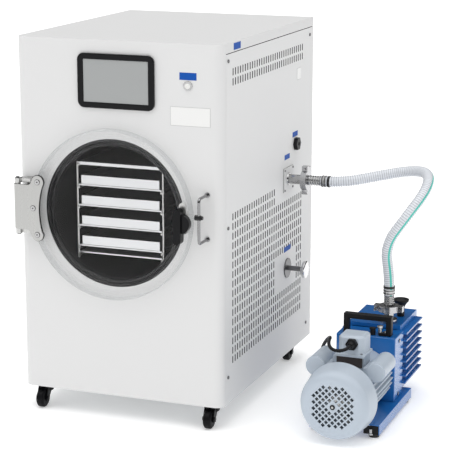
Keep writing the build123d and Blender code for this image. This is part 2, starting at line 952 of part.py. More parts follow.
with BuildPart() as control_box:
    block(
        (box_x - box_width / 2, box_y - box_depth / 2, top_z - sheet - box_height),
        (box_x + box_width / 2, box_y + box_depth / 2, top_z - sheet),
    )
    block(
        (
            box_x - box_width / 2 + box_sheet,
            box_y - box_depth / 2 + box_sheet,
            top_z - sheet - box_height + box_sheet,
        ),
        (box_x + box_width / 2 - box_sheet, box_y + box_depth / 2 - box_sheet, top_z),
        Mode.SUBTRACT,
    )
keep("control_box", control_box)


# ---------------------------------------------------------------- vacuum port, clamps and hose adapters
def port_neck(place, reach, neck_r, bore_r):
    """A stub with a flange on its end, turned along the place's own y axis."""
    turn(
        [
            (bore_r, 0),
            (neck_r, 0),
            (neck_r, reach - kf_flange),
            (kf_flange_r, reach - kf_flange),
            (kf_flange_r, reach),
            (bore_r, reach),
        ],
        place,
    )


port_joint_x = half_width + port_reach
port_start_x = chamber_x + chamber_outer_r + curved_gap
with BuildPart() as vacuum_port:
    port_neck(
        turning(port_start_x, port_y, port_z, "X"),
        port_joint_x - port_start_x,
        port_pipe_r,
        port_bore_r,
    )
    with BuildSketch(facing_right(half_width, port_y, port_z)) as plate_face:
        Rectangle(port_plate_width, port_plate_height)
        Circle(port_pipe_r - 1, mode=Mode.SUBTRACT)
    extrude(plate_face.sketch, amount=port_plate_thickness)
    screw_step_y = port_plate_width / 2 - port_screw_inset
    screw_step_z = port_plate_height / 2 - port_screw_inset
    for step_y in (-screw_step_y, screw_step_y):
        for step_z in (-screw_step_z, screw_step_z):
            rod(
                (half_width + port_plate_thickness, port_y + step_y, port_z + step_z),
                (half_width + port_plate_thickness + port_screw_head, port_y + step_y, port_z + step_z),
                port_screw_r,
            )
keep("vacuum_port", vacuum_port)

inlet_place_x = pump_x + inlet_x
inlet_joint_z = oil_case_high_z + inlet_base + inlet_neck + kf_flange


def clamp_ring(place):
    """The split ring that draws two flanges together."""
    half = clamp_width / 2
    lip = kf_flange + touch_gap
    neck = port_pipe_r + touch_gap
    turn(
        [
            (kf_flange_r + touch_gap, -lip),
            (neck, -lip),
            (neck, -half),
            (clamp_r, -half),
            (clamp_r, half),
            (neck, half),
            (neck, lip),
            (kf_flange_r + touch_gap, lip),
        ],
        place,
    )


ear_start = clamp_r - 3
with BuildPart() as kf_clamps:
    clamp_ring(turning(port_joint_x, port_y, port_z, "X"))
    half = clamp_width / 2
    for side in (-1, 1):
        ear_z = sorted((port_z + side * ear_start, port_z + side * (ear_start + clamp_ear)))
        block(
            (port_joint_x - half, port_y - clamp_ear_half, ear_z[0]),
            (port_joint_x + half, port_y + clamp_ear_half, ear_z[1]),
        )
    rod(
        (port_joint_x, port_y - clamp_bolt_short, port_z + clamp_r + clamp_bolt_r),
        (port_joint_x, port_y + clamp_bolt_long, port_z + clamp_r + clamp_bolt_r),
        clamp_bolt_r,
    )
    clamp_ring(turning(inlet_place_x, inlet_y, inlet_joint_z, "Z"))
    for side in (-1, 1):
        ear_x = sorted((inlet_place_x + side * ear_start, inlet_place_x + side * (ear_start + clamp_ear)))
        block(
            (ear_x[0], inlet_y - clamp_ear_half, inlet_joint_z - half),
            (ear_x[1], inlet_y + clamp_ear_half, inlet_joint_z + half),
        )
    rod(
        (inlet_place_x - clamp_r - clamp_bolt_r, inlet_y - clamp_bolt_long, inlet_joint_z),
        (inlet_place_x - clamp_r - clamp_bolt_r, inlet_y + clamp_bolt_short, inlet_joint_z),
        clamp_bolt_r,
    )
keep("kf_clamps", kf_clamps)


def hose_adapter(place, length):
    """Flange on one end, ribbed stub that the hose is pushed against on the other."""
    outline = [(port_bore_r, 0), (kf_flange_r, 0), (kf_flange_r, kf_flange), (adapter_stub_r, kf_flange)]
    rib_pitch = (length - kf_flange - rib_clear) / rib_count
    for rib in range(rib_count):
        low = kf_flange + rib_clear + rib * rib_pitch
        outline.append((adapter_stub_r, low))
        outline.append((rib_r, low + rib_pitch * 0.2))
        outline.append((rib_r, low + rib_pitch * 0.6))
        outline.append((adapter_stub_r, low + rib_pitch * 0.8))
    outline += [(adapter_stub_r, length), (port_bore_r, length)]
    turn(outline, place)


with BuildPart() as hose_adapters:
    hose_adapter(turning(port_joint_x, port_y, port_z, "X"), adapter_length)
    hose_adapter(turning(inlet_place_x, inlet_y, inlet_joint_z, "Z"), pump_adapter_length)
keep("hose_adapters", hose_adapters)

# ---------------------------------------------------------------- drain valve and mains gland
drain_end_x = half_width + drain_reach
drain_spindle_r = 3.5
drain_near_side = drain_pipe_drop_x - drain_body_r - chamber_x
drain_pipe_top_z = chamber_z - sqrt((chamber_outer_r + curved_gap) ** 2 - drain_near_side**2)
with BuildPart() as drain_valve:
    rod((half_width, drain_y, drain_z), (half_width + drain_flange, drain_y, drain_z), drain_flange_r)
    rod((drain_pipe_drop_x, drain_y, drain_z), (drain_end_x, drain_y, drain_z), drain_body_r)
    rod((drain_end_x, drain_y, drain_z), (drain_end_x + drain_knob_neck, drain_y, drain_z), drain_spindle_r)
    rod(
        (drain_pipe_drop_x, drain_y, drain_z - drain_body_r),
        (drain_pipe_drop_x, drain_y, drain_pipe_top_z),
        drain_body_r,
    )
keep("drain_valve", drain_valve)

with BuildPart() as drain_knob_part:
    turn(
        [
            (drain_spindle_r + running_gap, drain_knob_gap),
            (drain_body_r + drain_knob_boss / 2, drain_knob_gap),
            (drain_body_r + drain_knob_boss, drain_knob * 0.6),
            (drain_knob_r - drain_knob_edge, drain_knob * 0.6),
            (drain_knob_r, drain_knob * 0.8),
            (drain_knob_r, drain_knob * 1.4),
            (drain_knob_r - drain_knob_edge, drain_knob * 1.6),
            (0, drain_knob * 1.5),
            (0, drain_knob_neck + touch_gap),
            (drain_spindle_r + running_gap, drain_knob_neck + touch_gap),
        ],
        turning(drain_end_x, drain_y, drain_z, "X"),
    )
keep("drain_knob", drain_knob_part)


# ---------------------------------------------------------------- door
door_front_y = -door_gap - door_thickness
door_screw_radius = door_r - door_screw_inset
door_screw_places = [
    (chamber_x + door_screw_radius * cos(radians(a)), chamber_z + door_screw_radius * sin(radians(a)))
    for a in door_screw_angles
]
with BuildPart() as door_disc:
    turn(
        [
            (0, -door_gap),
            (door_r - door_edge, -door_gap),
            (door_r, -door_gap - door_edge),
            (door_r, door_front_y + door_edge),
            (door_r - door_edge, door_front_y),
            (0, door_front_y),
        ],
        turning(chamber_x, 0, chamber_z, "Y"),
    )
keep("door_disc", door_disc)

plate_front_y = door_front_y - door_plate
plate_start_x = hinge_x + knuckle_r + knuckle_clear
plate_mid_z = (hinge_low_z + hinge_high_z) / 2
barrel_low_z = hinge_low_z + lug_height + lug_gap
barrel_high_z = hinge_high_z - lug_height - lug_gap
with BuildPart() as hinge_plate:
    with BuildSketch(facing_front(0, door_front_y, 0)) as plate_outline:
        with Locations((plate_start_x + door_plate_reach / 2, plate_mid_z)):
            Rectangle(door_plate_reach, hinge_high_z - hinge_low_z)
        with Locations((chamber_x, chamber_z)):
            Circle(door_r - door_plate_bite, mode=Mode.SUBTRACT)
        fillet(plate_outline.vertices().group_by(Axis.X)[-1], door_plate_corner)
    extrude(plate_outline.sketch, amount=door_plate)
    block((hinge_x, plate_front_y, barrel_low_z), (plate_start_x, door_front_y, barrel_high_z))
    rod((hinge_x, hinge_y, barrel_low_z), (hinge_x, hinge_y, barrel_high_z), knuckle_r)
    rod(
        (hinge_x, hinge_y, barrel_low_z),
        (hinge_x, hinge_y, barrel_high_z),
        hinge_pin_r + running_gap,
        Mode.SUBTRACT,
    )
    for screw_x, screw_z in door_screw_places:
        turn(
            [
                (0, plate_front_y - door_screw_head),
                (door_screw_r - 1, plate_front_y - door_screw_head),
                (door_screw_r, plate_front_y - door_screw_head / 2),
                (door_screw_r, plate_front_y + 1),
                (0, plate_front_y + 1),
            ],
            turning(screw_x, 0, screw_z, "Y"),
        )
keep("hinge_plate", hinge_plate)

bracket_end_x = hinge_x + bracket_width
with BuildPart() as hinge_bracket:
    block((bracket_end_x - bracket_leaf, -bracket_plate, hinge_low_z), (bracket_end_x, 0, hinge_high_z))
    for low_z in (hinge_low_z, hinge_high_z - lug_height):
        block((hinge_x, hinge_y, low_z), (bracket_end_x, -bracket_plate, low_z + lug_height))
        rod((hinge_x, hinge_y, low_z), (hinge_x, hinge_y, low_z + lug_height), knuckle_r)
    rod((hinge_x, hinge_y, hinge_low_z), (hinge_x, hinge_y, hinge_high_z), hinge_pin_r)
keep("hinge_bracket", hinge_bracket)

# ---------------------------------------------------------------- latch and catch
mount_front_y = door_front_y - mount_thickness
tongue_rear_y = mount_front_y - latch_step_gap
tongue_front_y = tongue_rear_y - tongue_thickness
handle_front_y = tongue_front_y - hub_thickness
latch_pin_end_y = handle_front_y + latch_pin_cover
with BuildPart() as latch_mount:
    with BuildSketch(facing_front(latch_x, door_front_y, latch_z)) as mount_outline:
        SlotOverall(2 * mount_half_height, 2 * mount_half_width, rotation=90)
    extrude(mount_outline.sketch, amount=mount_thickness)
    rod((latch_x, mount_front_y, latch_z), (latch_x, latch_pin_end_y, latch_z), latch_pin_r)
keep("latch_mount", latch_mount)

with BuildPart() as latch_tongue:
    with BuildSketch(facing_front(latch_x, tongue_rear_y, latch_z)) as tongue_outline:
        with Locations((0, tongue_reach / 2)):
            SlotOverall(tongue_reach + 2 * tongue_half_width, 2 * tongue_half_width, rotation=90)
        Circle(latch_pin_r + running_gap, mode=Mode.SUBTRACT)
    extrude(tongue_outline.sketch, amount=tongue_thickness)
keep("latch_tongue", latch_tongue)

with BuildPart() as latch_handle:
    with BuildSketch(facing_front(latch_x, tongue_front_y, latch_z)) as hub_outline:
        Circle(hub_r)
        with Locations((-grip_offset, -grip_drop)):
            SlotOverall(grip_length, grip_width, rotation=90)
    extrude(hub_outline.sketch, amount=hub_thickness)
    with BuildSketch(facing_front(latch_x, handle_front_y, latch_z)) as grip_outline:
        with Locations((-grip_offset, -grip_drop)):
            SlotOverall(grip_length, grip_width, rotation=90)
    extrude(grip_outline.sketch, amount=grip_proud)
    rod(
        (latch_x, tongue_front_y + 1, latch_z),
        (latch_x, latch_pin_end_y - latch_step_gap, latch_z),
        latch_pin_r + running_gap,
        Mode.SUBTRACT,
    )
    rod(
        (latch_x, tongue_front_y + 1, latch_z),
        (latch_x, tongue_front_y - 1, latch_z),
        latch_pin_r + running_gap,
        Mode.SUBTRACT,
    )
keep("latch_handle", latch_handle)

with BuildPart() as catch_bar:
    with BuildLine() as catch_path:
        FilletPolyline(
            (catch_x, -catch_foot, catch_high_z),
            (catch_x, -catch_stand_off, catch_high_z),
            (catch_x, -catch_stand_off, catch_low_z),
            (catch_x, -catch_foot, catch_low_z),
            radius=catch_bend_r,
        )
    with BuildSketch(Plane(origin=(catch_x, -catch_foot, catch_high_z), z_dir=(0, -1, 0))) as rod_section:
        Circle(catch_rod_r)
    sweep(rod_section.sketch, path=catch_path.line)
    for foot_z in (catch_low_z, catch_high_z):
        rod((catch_x, -catch_foot, foot_z), (catch_x, 0, foot_z), catch_foot_r)
    rod(
        (catch_x - bumper_left, -catch_stand_off, bumper_z),
        (catch_x + bumper_wrap, -catch_stand_off, bumper_z),
        bumper_r,
    )
    rod(
        (catch_x, -catch_stand_off, bumper_z),
        (catch_x + bumper_right, -catch_stand_off, bumper_z),
        bumper_nub_r,
    )
keep("catch_bar", catch_bar)

# ---------------------------------------------------------------- casters
caster_places = {
    "front_left": (-caster_x, caster_front_y),
    "front_right": (caster_x, caster_front_y),
    "rear_left": (-caster_x, caster_rear_y),
    "rear_right": (caster_x, caster_rear_y),
}
plate_low_z = base_z - caster_plate
hub_high_z = plate_low_z - swivel_gap
hub_low_z = 2 * wheel_r + wheel_top_gap
cheek_start = wheel_width / 2 + fork_side_gap
with BuildPart() as caster_plates:
    for place_x, place_y in caster_places.values():
        block(
            (place_x - caster_plate_width / 2, place_y - caster_plate_width / 2, plate_low_z),
            (place_x + caster_plate_width / 2, place_y + caster_plate_width / 2, base_z),
        )
        rod((place_x, place_y, hub_low_z + swivel_gap), (place_x, place_y, plate_low_z), swivel_stem_r)
keep("caster_plates", caster_plates)


def caster_fork(place_x, place_y):
    """Swivelling fork: a hub on the stem, two cheeks and the axle between them."""
    axle_y = place_y - caster_trail
    with BuildPart() as fork:
        rod((place_x, place_y, hub_low_z), (place_x, place_y, hub_high_z), swivel_r)
        for side in (-1, 1):
            inner_x = place_x + side * cheek_start
            with BuildSketch(facing_right(inner_x, 0, 0)) as cheek:
                with BuildLine():
                    Polyline(
                        (place_y + swivel_r - fork_back, hub_high_z),
                        (place_y - swivel_r, hub_high_z),
                        (axle_y - fork_tip_front, wheel_r),
                        (axle_y - fork_tip_half, wheel_r - fork_tip_drop),
                        (axle_y + fork_tip_half, wheel_r - fork_tip_drop),
                        (axle_y + fork_tip_rear, wheel_r),
                        close=True,
                    )
                make_face()
            extrude(cheek.sketch, amount=side * fork_cheek)
            rod(
                (inner_x + side * fork_cheek, axle_y, wheel_r),
                (inner_x + side * (fork_cheek + axle_head), axle_y, wheel_r),
                axle_head_r,
            )
        block(
            (place_x - cheek_start - fork_cheek, place_y - swivel_r, hub_low_z),
            (place_x + cheek_start + fork_cheek, place_y + swivel_r - fork_back, hub_high_z),
        )
        rod((place_x - cheek_start, axle_y, wheel_r), (place_x + cheek_start, axle_y, wheel_r), axle_r)
        rod(
            (place_x, place_y, hub_low_z - 1),
            (place_x, place_y, hub_high_z + 1),
            swivel_stem_r + running_gap,
            Mode.SUBTRACT,
        )
    return fork


def caster_wheel(place_x, place_y):
    """Wheel with a rounded tread."""
    half = wheel_width / 2
    with BuildPart() as wheel:
        turn(
            [
                (axle_r + running_gap, -half),
                (wheel_r - tread_edge_r, -half),
                (wheel_r, -half + tread_edge),
                (wheel_r, half - tread_edge),
                (wheel_r - tread_edge_r, half),
                (axle_r + running_gap, half),
            ],
            turning(place_x, place_y - caster_trail, wheel_r, "X"),
        )
    return wheel


for corner, (place_x, place_y) in caster_places.items():
    keep("caster_fork_" + corner, caster_fork(place_x, place_y))
    keep("caster_wheel_" + corner, caster_wheel(place_x, place_y))

# ---------------------------------------------------------------- vacuum pump: base, feet and support
pump_floor_z = foot_height
pump_floor_top_z = pump_floor_z + pump_rail_sheet
rail_low_z = pump_floor_top_z - pump_rail_height
with BuildPart() as pump_base:
    block(
        (pump_x - rail_outer, rail_start_y, pump_floor_z),
        (pump_x + rail_outer, rail_end_y, pump_floor_top_z),
    )
    for side in (-1, 1):
        wall_x = sorted((pump_x + side * rail_outer, pump_x + side * (rail_outer - pump_rail_sheet)))
        block((wall_x[0], rail_start_y, rail_low_z), (wall_x[1], rail_end_y, pump_floor_top_z))
keep("pump_base", pump_base)

foot_x_step = rail_outer - foot_r - foot_inset_x
with BuildPart() as pump_feet:
    for side in (-1, 1):
        for foot_y in (rail_start_y + foot_inset_y, rail_end_y - foot_inset_y):
            turn(
                [(0, 0), (foot_r, 0), (foot_r, foot_rim), (foot_top_r, foot_height), (0, foot_height)],
                turning(pump_x + side * foot_x_step, foot_y, 0, "Z"),
            )
keep("pump_feet", pump_feet)

support_rear_y = support_y + support_depth
with BuildPart() as pump_support:
    block(
        (pump_x - support_half_width, support_y, pump_floor_top_z),
        (pump_x + support_half_width, support_rear_y, support_high_z),
    )
    block(
        (
            pump_x - support_half_width + support_wall,
            support_y + support_wall,
            pump_floor_top_z + support_wall,
        ),
        (
            pump_x + support_half_width - support_wall,
            support_rear_y - support_wall,
            support_high_z - support_wall,
        ),
        Mode.SUBTRACT,
    )
    rod(
        (pump_x, support_y - 1, motor_z),
        (pump_x, support_rear_y + 1, motor_z),
        shaft_r + running_gap,
        Mode.SUBTRACT,
    )
keep("pump_support", pump_support)

case_end_y = support_rear_y + oil_case_length
with BuildPart() as oil_case:
    block(
        (pump_x - oil_case_half_width, support_rear_y, oil_case_low_z),
        (pump_x + oil_case_half_width, case_end_y, oil_case_high_z),
    )
    block(
        (pump_x - oil_case_half_width + oil_case_wall, support_rear_y, oil_case_low_z + oil_case_wall),
        (
            pump_x + oil_case_half_width - oil_case_wall,
            case_end_y - oil_case_wall,
            oil_case_high_z - oil_case_wall,
        ),
        Mode.SUBTRACT,
    )
    first_fin_z = oil_case_low_z + case_fin_start
    for number in range(case_fins):
        fin_z = first_fin_z + number * case_fin_pitch
        for side in (-1, 1):
            root_x = pump_x + side * oil_case_half_width
            fin_x = sorted((root_x, root_x + side * case_fin_reach))
            block(
                (fin_x[0], support_rear_y + case_fin_inset, fin_z),
                (fin_x[1], case_end_y - case_fin_inset, fin_z + case_fin),
            )
    rod(
        (pump_x, case_end_y, sight_glass_z),
        (pump_x, case_end_y + sight_glass, sight_glass_z),
        sight_glass_r,
    )
keep("oil_case", oil_case)

# ---------------------------------------------------------------- vacuum pump: motor, fan and shaft
cover_rear_y = pump_front_y + fan_cover_depth
motor_start_y = cover_rear_y - motor_lap
cover_taper = (fan_cover_r - fan_cover_front_r) / (fan_cover_depth - fan_cover_shoulder)
bell_r = fan_cover_r - fan_cover_wall - touch_gap - motor_lap * cover_taper
capacitor_end_y = capacitor_start_y + capacitor_length
with BuildPart() as pump_motor:
    turn(
        [
            (shaft_r + running_gap, motor_start_y),
            (bell_r, motor_start_y),
            (bell_r, cover_rear_y),
            (motor_core_r, cover_rear_y),
            (motor_core_r, support_y),
            (shaft_r + running_gap, support_y),
            (shaft_r + running_gap, support_y - motor_wall),
            (motor_core_r - motor_wall, support_y - motor_wall),
            (motor_core_r - motor_wall, motor_start_y + motor_wall),
            (shaft_r + running_gap, motor_start_y + motor_wall),
        ],
        turning(pump_x, 0, motor_z, "Y"),
    )
    for number in range(motor_fins):
        fin_z = motor_z + (number - (motor_fins - 1) / 2) * motor_fin_pitch
        rise = abs(fin_z - motor_z) + motor_fin_thickness
        for side in (-1, 1):
            near_x = sqrt(motor_core_r**2 - rise**2) - fin_bite
            fin_x = sorted((pump_x + side * near_x, pump_x + side * (near_x + motor_fin + fin_bite)))
            block(
                (fin_x[0], cover_rear_y + motor_fin_start, fin_z - motor_fin_thickness / 2),
                (fin_x[1], support_y - motor_fin_end, fin_z + motor_fin_thickness / 2),
            )
    foot_start_y = cover_rear_y + motor_foot_start
    foot_top_z = motor_z - sqrt(motor_core_r**2 - motor_foot_half**2) + motor_foot_bite
    block(
        (pump_x - motor_foot_half, foot_start_y, pump_floor_top_z),
        (pump_x + motor_foot_half, foot_start_y + motor_foot_length, foot_top_z),
    )
    seat_low_z = motor_z + sqrt(motor_core_r**2 - terminal_seat_half**2) - fin_bite
    seat_end_y = terminal_start_y + terminal_depth - terminal_seat_inset
    block(
        (pump_x - terminal_seat_half, terminal_start_y + terminal_seat_inset, seat_low_z),
        (pump_x + terminal_seat_half, seat_end_y, terminal_base_z),
    )
    for side in (-1, 1):
        housing_x = pump_x + side * capacitor_x
        rod(
            (housing_x, capacitor_start_y, capacitor_z),
            (housing_x, capacitor_end_y, capacitor_z),
            capacitor_r,
        )
        seat_x = sorted((pump_x + side * (capacitor_x - capacitor_seat_reach), housing_x))
        block(
            (seat_x[0], capacitor_start_y + capacitor_seat_inset, capacitor_z - capacitor_seat_low),
            (seat_x[1], capacitor_end_y - capacitor_seat_inset, capacitor_z + capacitor_seat_high),
        )
    rod(
        (pump_x, motor_start_y + motor_wall, motor_z),
        (pump_x, support_y - motor_wall, motor_z),
        motor_core_r - motor_wall,
        Mode.SUBTRACT,
    )
keep("pump_motor", pump_motor)

half_cells = [number + 0.5 for number in range(-grille_cells, grille_cells)]
grille_places = []
for i in half_cells:
    for j in half_cells:
        if 1 < abs(i) + abs(j) <= grille_corner:
            grille_places.append(((i - j) * grille_pitch / sqrt(2), (i + j) * grille_pitch / sqrt(2)))


def cover_shoulder(wall):
    """The cover's quarter-round shoulder, drawn in by a wall."""
    angles = [pi / 2 * step / shoulder_steps for step in range(shoulder_steps + 1)]
    reach = fan_cover_front_r - wall - fan_cover_face_r
    drop = fan_cover_shoulder - wall
    start_y = pump_front_y + wall
    return [(fan_cover_face_r + reach * sin(a), start_y + drop * (1 - cos(a))) for a in angles]


with BuildPart() as fan_cover:
    turn(
        [(0, pump_front_y)]
        + cover_shoulder(0)
        + [(fan_cover_r, cover_rear_y), (fan_cover_r - fan_cover_wall, cover_rear_y)]
        + cover_shoulder(fan_cover_wall)[::-1]
        + [(0, pump_front_y + fan_cover_wall)],
        turning(pump_x, 0, motor_z, "Y"),
    )
    with BuildSketch(facing_front(pump_x, pump_front_y, motor_z)) as grille:
        with Locations(*grille_places):
            Rectangle(grille_hole, grille_hole, rotation=45)
    extrude(grille.sketch, amount=-fan_cover_wall - 0.5, mode=Mode.SUBTRACT)
keep("fan_cover", fan_cover)

fan_place_y = motor_start_y - pump_fan_width - pump_fan_gap
with BuildPart() as cooling_fan:
    rod((pump_x, fan_place_y, motor_z), (pump_x, fan_place_y + pump_fan_width, motor_z), pump_fan_hub_r)
    for number in range(pump_fan_blades):
        angle = 360.0 * number / pump_fan_blades
        blade = facing_up(pump_x, fan_place_y + pump_fan_width / 2, motor_z).rotated((0, angle, 0))
        with BuildSketch(blade) as blade_face:
            with Locations(((pump_fan_hub_r + pump_fan_r) / 2 - 2, 0)):
                Rectangle(pump_fan_r - pump_fan_hub_r + 3, pump_fan_width)
        extrude(blade_face.sketch, amount=fan_blade, both=True)
    rod(
        (pump_x, fan_place_y, motor_z),
        (pump_x, fan_place_y + pump_fan_width, motor_z),
        shaft_r + running_gap,
        Mode.SUBTRACT,
    )
keep("cooling_fan", cooling_fan)

rotor_start_y = motor_start_y + motor_wall + rotor_inset
vane_start_y = support_rear_y + vane_inset
vane_end_y = case_end_y - oil_case_wall - vane_end_gap
shaft_end_y = case_end_y - oil_case_wall - shaft_end_gap
with BuildPart() as motor_shaft:
    rod((pump_x, fan_place_y - shaft_proud, motor_z), (pump_x, shaft_end_y, motor_z), shaft_r)
    rod((pump_x, rotor_start_y, motor_z), (pump_x, rotor_start_y + rotor_length, motor_z), rotor_r)
    rod((pump_x, vane_start_y, motor_z), (pump_x, vane_end_y, motor_z), vane_rotor_r)
keep("motor_shaft", motor_shaft)

# ---------------------------------------------------------------- vacuum pump: box, handle, inlet, cap
box_low_z = terminal_base_z + terminal_base
box_mid_x = pump_x + terminal_x
with BuildPart() as terminal_box:
    block(
        (box_mid_x - terminal_width / 2 - terminal_lip_x, terminal_start_y - terminal_lip_y, terminal_base_z),
        (
            box_mid_x + terminal_width / 2 + terminal_lip_x,
            terminal_start_y + terminal_depth + terminal_lip_y,
            box_low_z,
        ),
    )
    with BuildSketch(facing_up(box_mid_x, terminal_start_y + terminal_depth / 2, box_low_z)) as box_outline:
        Rectangle(terminal_width, terminal_depth)
        chamfer(box_outline.vertices().group_by(Axis.Y)[0], terminal_chamfer)
    extrude(box_outline.sketch, amount=terminal_height)
    chamfer(terminal_box.edges().group_by(Axis.Z)[-1], terminal_edge)
    block(
        (
            box_mid_x - terminal_width / 2 + terminal_wall + terminal_edge,
            terminal_start_y + terminal_chamfer + terminal_wall,
            terminal_base_z,
        ),
        (
            box_mid_x + terminal_width / 2 - terminal_wall - terminal_edge,
            terminal_start_y + terminal_depth - terminal_wall - terminal_edge,
            box_low_z + terminal_height - terminal_wall - terminal_edge,
        ),
        Mode.SUBTRACT,
    )
keep("terminal_box", terminal_box)

gland_face_y = terminal_start_y
cord_start_y = gland_face_y - cord_gland_hex - cord_gland_cap
with BuildPart() as cable_glands:
    with BuildSketch(facing_right(half_width, gland_y, gland_z)) as gland_hex:
        RegularPolygon(gland_across / 2, 6, major_radius=False)
    extrude(gland_hex.sketch, amount=gland_proud)
    rod((half_width - gland_depth, gland_y, gland_z), (half_width, gland_y, gland_z), gland_tube_r)
    rod(
        (half_width - gland_depth, gland_y, gland_z),
        (half_width + gland_proud, gland_y, gland_z),
        gland_bore_r,
        Mode.SUBTRACT,
    )
    with BuildSketch(facing_front(pump_x + cord_gland_x, gland_face_y, cord_gland_z)) as nut:
        RegularPolygon(cord_gland_across / 2, 6, major_radius=False)
    extrude(nut.sketch, amount=cord_gland_hex)
    turn(
        [
            (0, cord_start_y),
            (cord_r + cord_gland_lip, cord_start_y),
            (cord_gland_cap_r, cord_start_y + cord_gland_cap * 0.6),
            (cord_gland_cap_r, cord_start_y + cord_gland_cap),
            (0, cord_start_y + cord_gland_cap),
        ],
        turning(pump_x + cord_gland_x, 0, cord_gland_z, "Y"),
    )
keep("cable_glands", cable_glands)

handle_top_z = support_high_z + handle_rise
with BuildPart() as pump_handle:
    block(
        (pump_x - handle_half_width, handle_y - handle_depth / 2, support_high_z),
        (pump_x + handle_half_width, handle_y + handle_depth / 2, handle_top_z),
    )
    block(
        (pump_x - handle_half_width + handle_section, handle_y - handle_depth, support_high_z),
        (pump_x + handle_half_width - handle_section, handle_y + handle_depth, handle_top_z - handle_section),
        Mode.SUBTRACT,
    )
keep("pump_handle", pump_handle)

with BuildPart() as pump_inlet:
    rod(
        (inlet_place_x, inlet_y, oil_case_high_z),
        (inlet_place_x, inlet_y, oil_case_high_z + inlet_base),
        inlet_base_r,
    )
    port_neck(
        turning(inlet_place_x, inlet_y, oil_case_high_z + inlet_base, "Z"),
        inlet_neck + kf_flange,
        inlet_neck_r,
        port_bore_r,
    )
keep("pump_inlet", pump_inlet)

cap_low_z = oil_case_high_z + cap_neck
with BuildPart() as exhaust_cap:
    turn(
        [
            (0, oil_case_high_z),
            (cap_neck_r, oil_case_high_z),
            (cap_neck_r, cap_low_z),
            (cap_r - cap_flare, cap_low_z + cap_height * 0.4),
            (cap_r, cap_low_z + cap_height * 0.8),
            (cap_r, cap_low_z + cap_height),
            (cap_r - cap_edge, cap_low_z + cap_height),
            (cap_r - cap_flare, cap_low_z + cap_height * 0.8),
            (0, cap_low_z + cap_height * 0.7),
        ],
        turning(pump_x + cap_x, cap_y, 0, "Z"),
    )
keep("exhaust_cap", exhaust_cap)


# ---------------------------------------------------------------- cords
def tube_along(points, radius, label):
    """A round tube on straight runs joined by arcs as large as the runs allow."""
    corners = [Vector(*point) for point in points]
    radii = []
    for before, here, after in zip(corners, corners[1:], corners[2:]):
        half_turn = radians((here - before).get_angle(after - here)) / 2
        radii.append(0.45 * min((here - before).length, (after - here).length) / tan(half_turn))
    with BuildPart() as tube:
        with BuildLine() as route:
            FilletPolyline(*points, radius=radii)
        with BuildSketch(Plane(origin=points[0], z_dir=corners[1] - corners[0])) as section:
            Circle(radius)
        sweep(section.sketch, path=route.line)
    length = sum(edge.length for edge in route.edges())
    print(label, "length", round(length), "radii", [round(value) for value in radii])
    print(label, "volume over section times length", round(tube.part.volume / (pi * radius**2 * length), 4))
    return tube


hose_start_x = port_joint_x + adapter_length
hose_end_z = inlet_joint_z + pump_adapter_length
hose_points = [
    (hose_start_x, port_y, port_z),
    (350, port_y, port_z),
    (416, 436, 464),
    (484, 449, 479),
    (540, 408, 487),
    (556, 334, 466),
    (526, 282, 416),
    (480, 284, 350),
    (inlet_place_x, inlet_y, 276),
    (inlet_place_x, inlet_y, hose_end_z),
]
keep("vacuum_hose", tube_along(hose_points, hose_r, "vacuum_hose"))

coil_meet_y = coil_y - sqrt(coil_outer_r**2 - (coil_outer_r - 2 * cord_r) ** 2)
cord_lift = cord_r + 0.1
cord_points = [
    (pump_x + cord_gland_x, cord_start_y, cord_gland_z),
    (pump_x + cord_gland_x, 68, 185),
    (452, 60, 181),
    (437, 61, 182),
    (426, 72, 187),
    (420, 92, 191),
    (415, 118, 189),
    (405, 146, 181),
    (391, 168, 167),
    (378, 184, 147),
    (370, 196, 120),
    (366, 203, 84),
    (365, 209, 50),
    (366, 224, 21),
    (369, 250, 6),
    (373, 285, cord_lift),
    (378, 325, cord_lift),
    (379, 365, cord_lift),
    (375, 400, cord_lift),
    (coil_x - coil_outer_r + cord_r, 434, cord_lift),
    (coil_x - coil_outer_r + cord_r, coil_meet_y, cord_lift),
]
keep("cord_tube", tube_along(cord_points, cord_r, "cord_tube"))

with BuildPart() as cord_coil:
    turn(
        [(coil_inner_r, 0), (coil_outer_r, 0), (coil_outer_r, coil_height), (coil_inner_r, coil_height)],
        turning(coil_x, coil_y, 0, "Z"),
    )
keep("cord_coil", cord_coil)

plug_x = coil_x - (coil_inner_r + coil_outer_r) / 2
plug_start_y = coil_y + plug_ahead
plug_z = coil_height + plug_thickness / 2
with BuildPart() as cord_plug:
    rod((plug_x, plug_start_y, plug_z), (plug_x, plug_start_y + plug_boot, plug_z), plug_boot_r)
    block(
        (plug_x - plug_width / 2, plug_start_y + plug_boot, coil_height),
        (plug_x + plug_width / 2, plug_start_y + plug_boot + plug_length, coil_height + plug_thickness),
    )
    pin_start_y = plug_start_y + plug_boot + plug_length
    for side in (-1, 1):
        pin_x = plug_x + side * pin_spacing / 2
        rod((pin_x, pin_start_y, plug_z), (pin_x, pin_start_y + pin_length, plug_z), pin_r)
keep("cord_plug", cord_plug)

# ---------------------------------------------------------------- centre the whole on its footprint
cord_names = ("cord_tube", "cord_coil", "cord_plug", "vacuum_hose")
boxes = [piece.bounding_box() for name, piece in pieces.items() if name not in cord_names]
low = Vector(*(min(tuple(box.min)[axis] for box in boxes) for axis in range(3)))
high = Vector(*(max(tuple(box.max)[axis] for box in boxes) for axis in range(3)))
centre_shift = Vector(-(low.X + high.X) / 2, -(low.Y + high.Y) / 2, -low.Z)

os.makedirs("parts", exist_ok=True)
for name, piece in pieces.items():
    placed = piece.moved(Location(centre_shift))
    placed.label = name
    export_step(placed, "parts/" + name + ".step")
print("pieces", len(pieces), "shift", centre_shift)
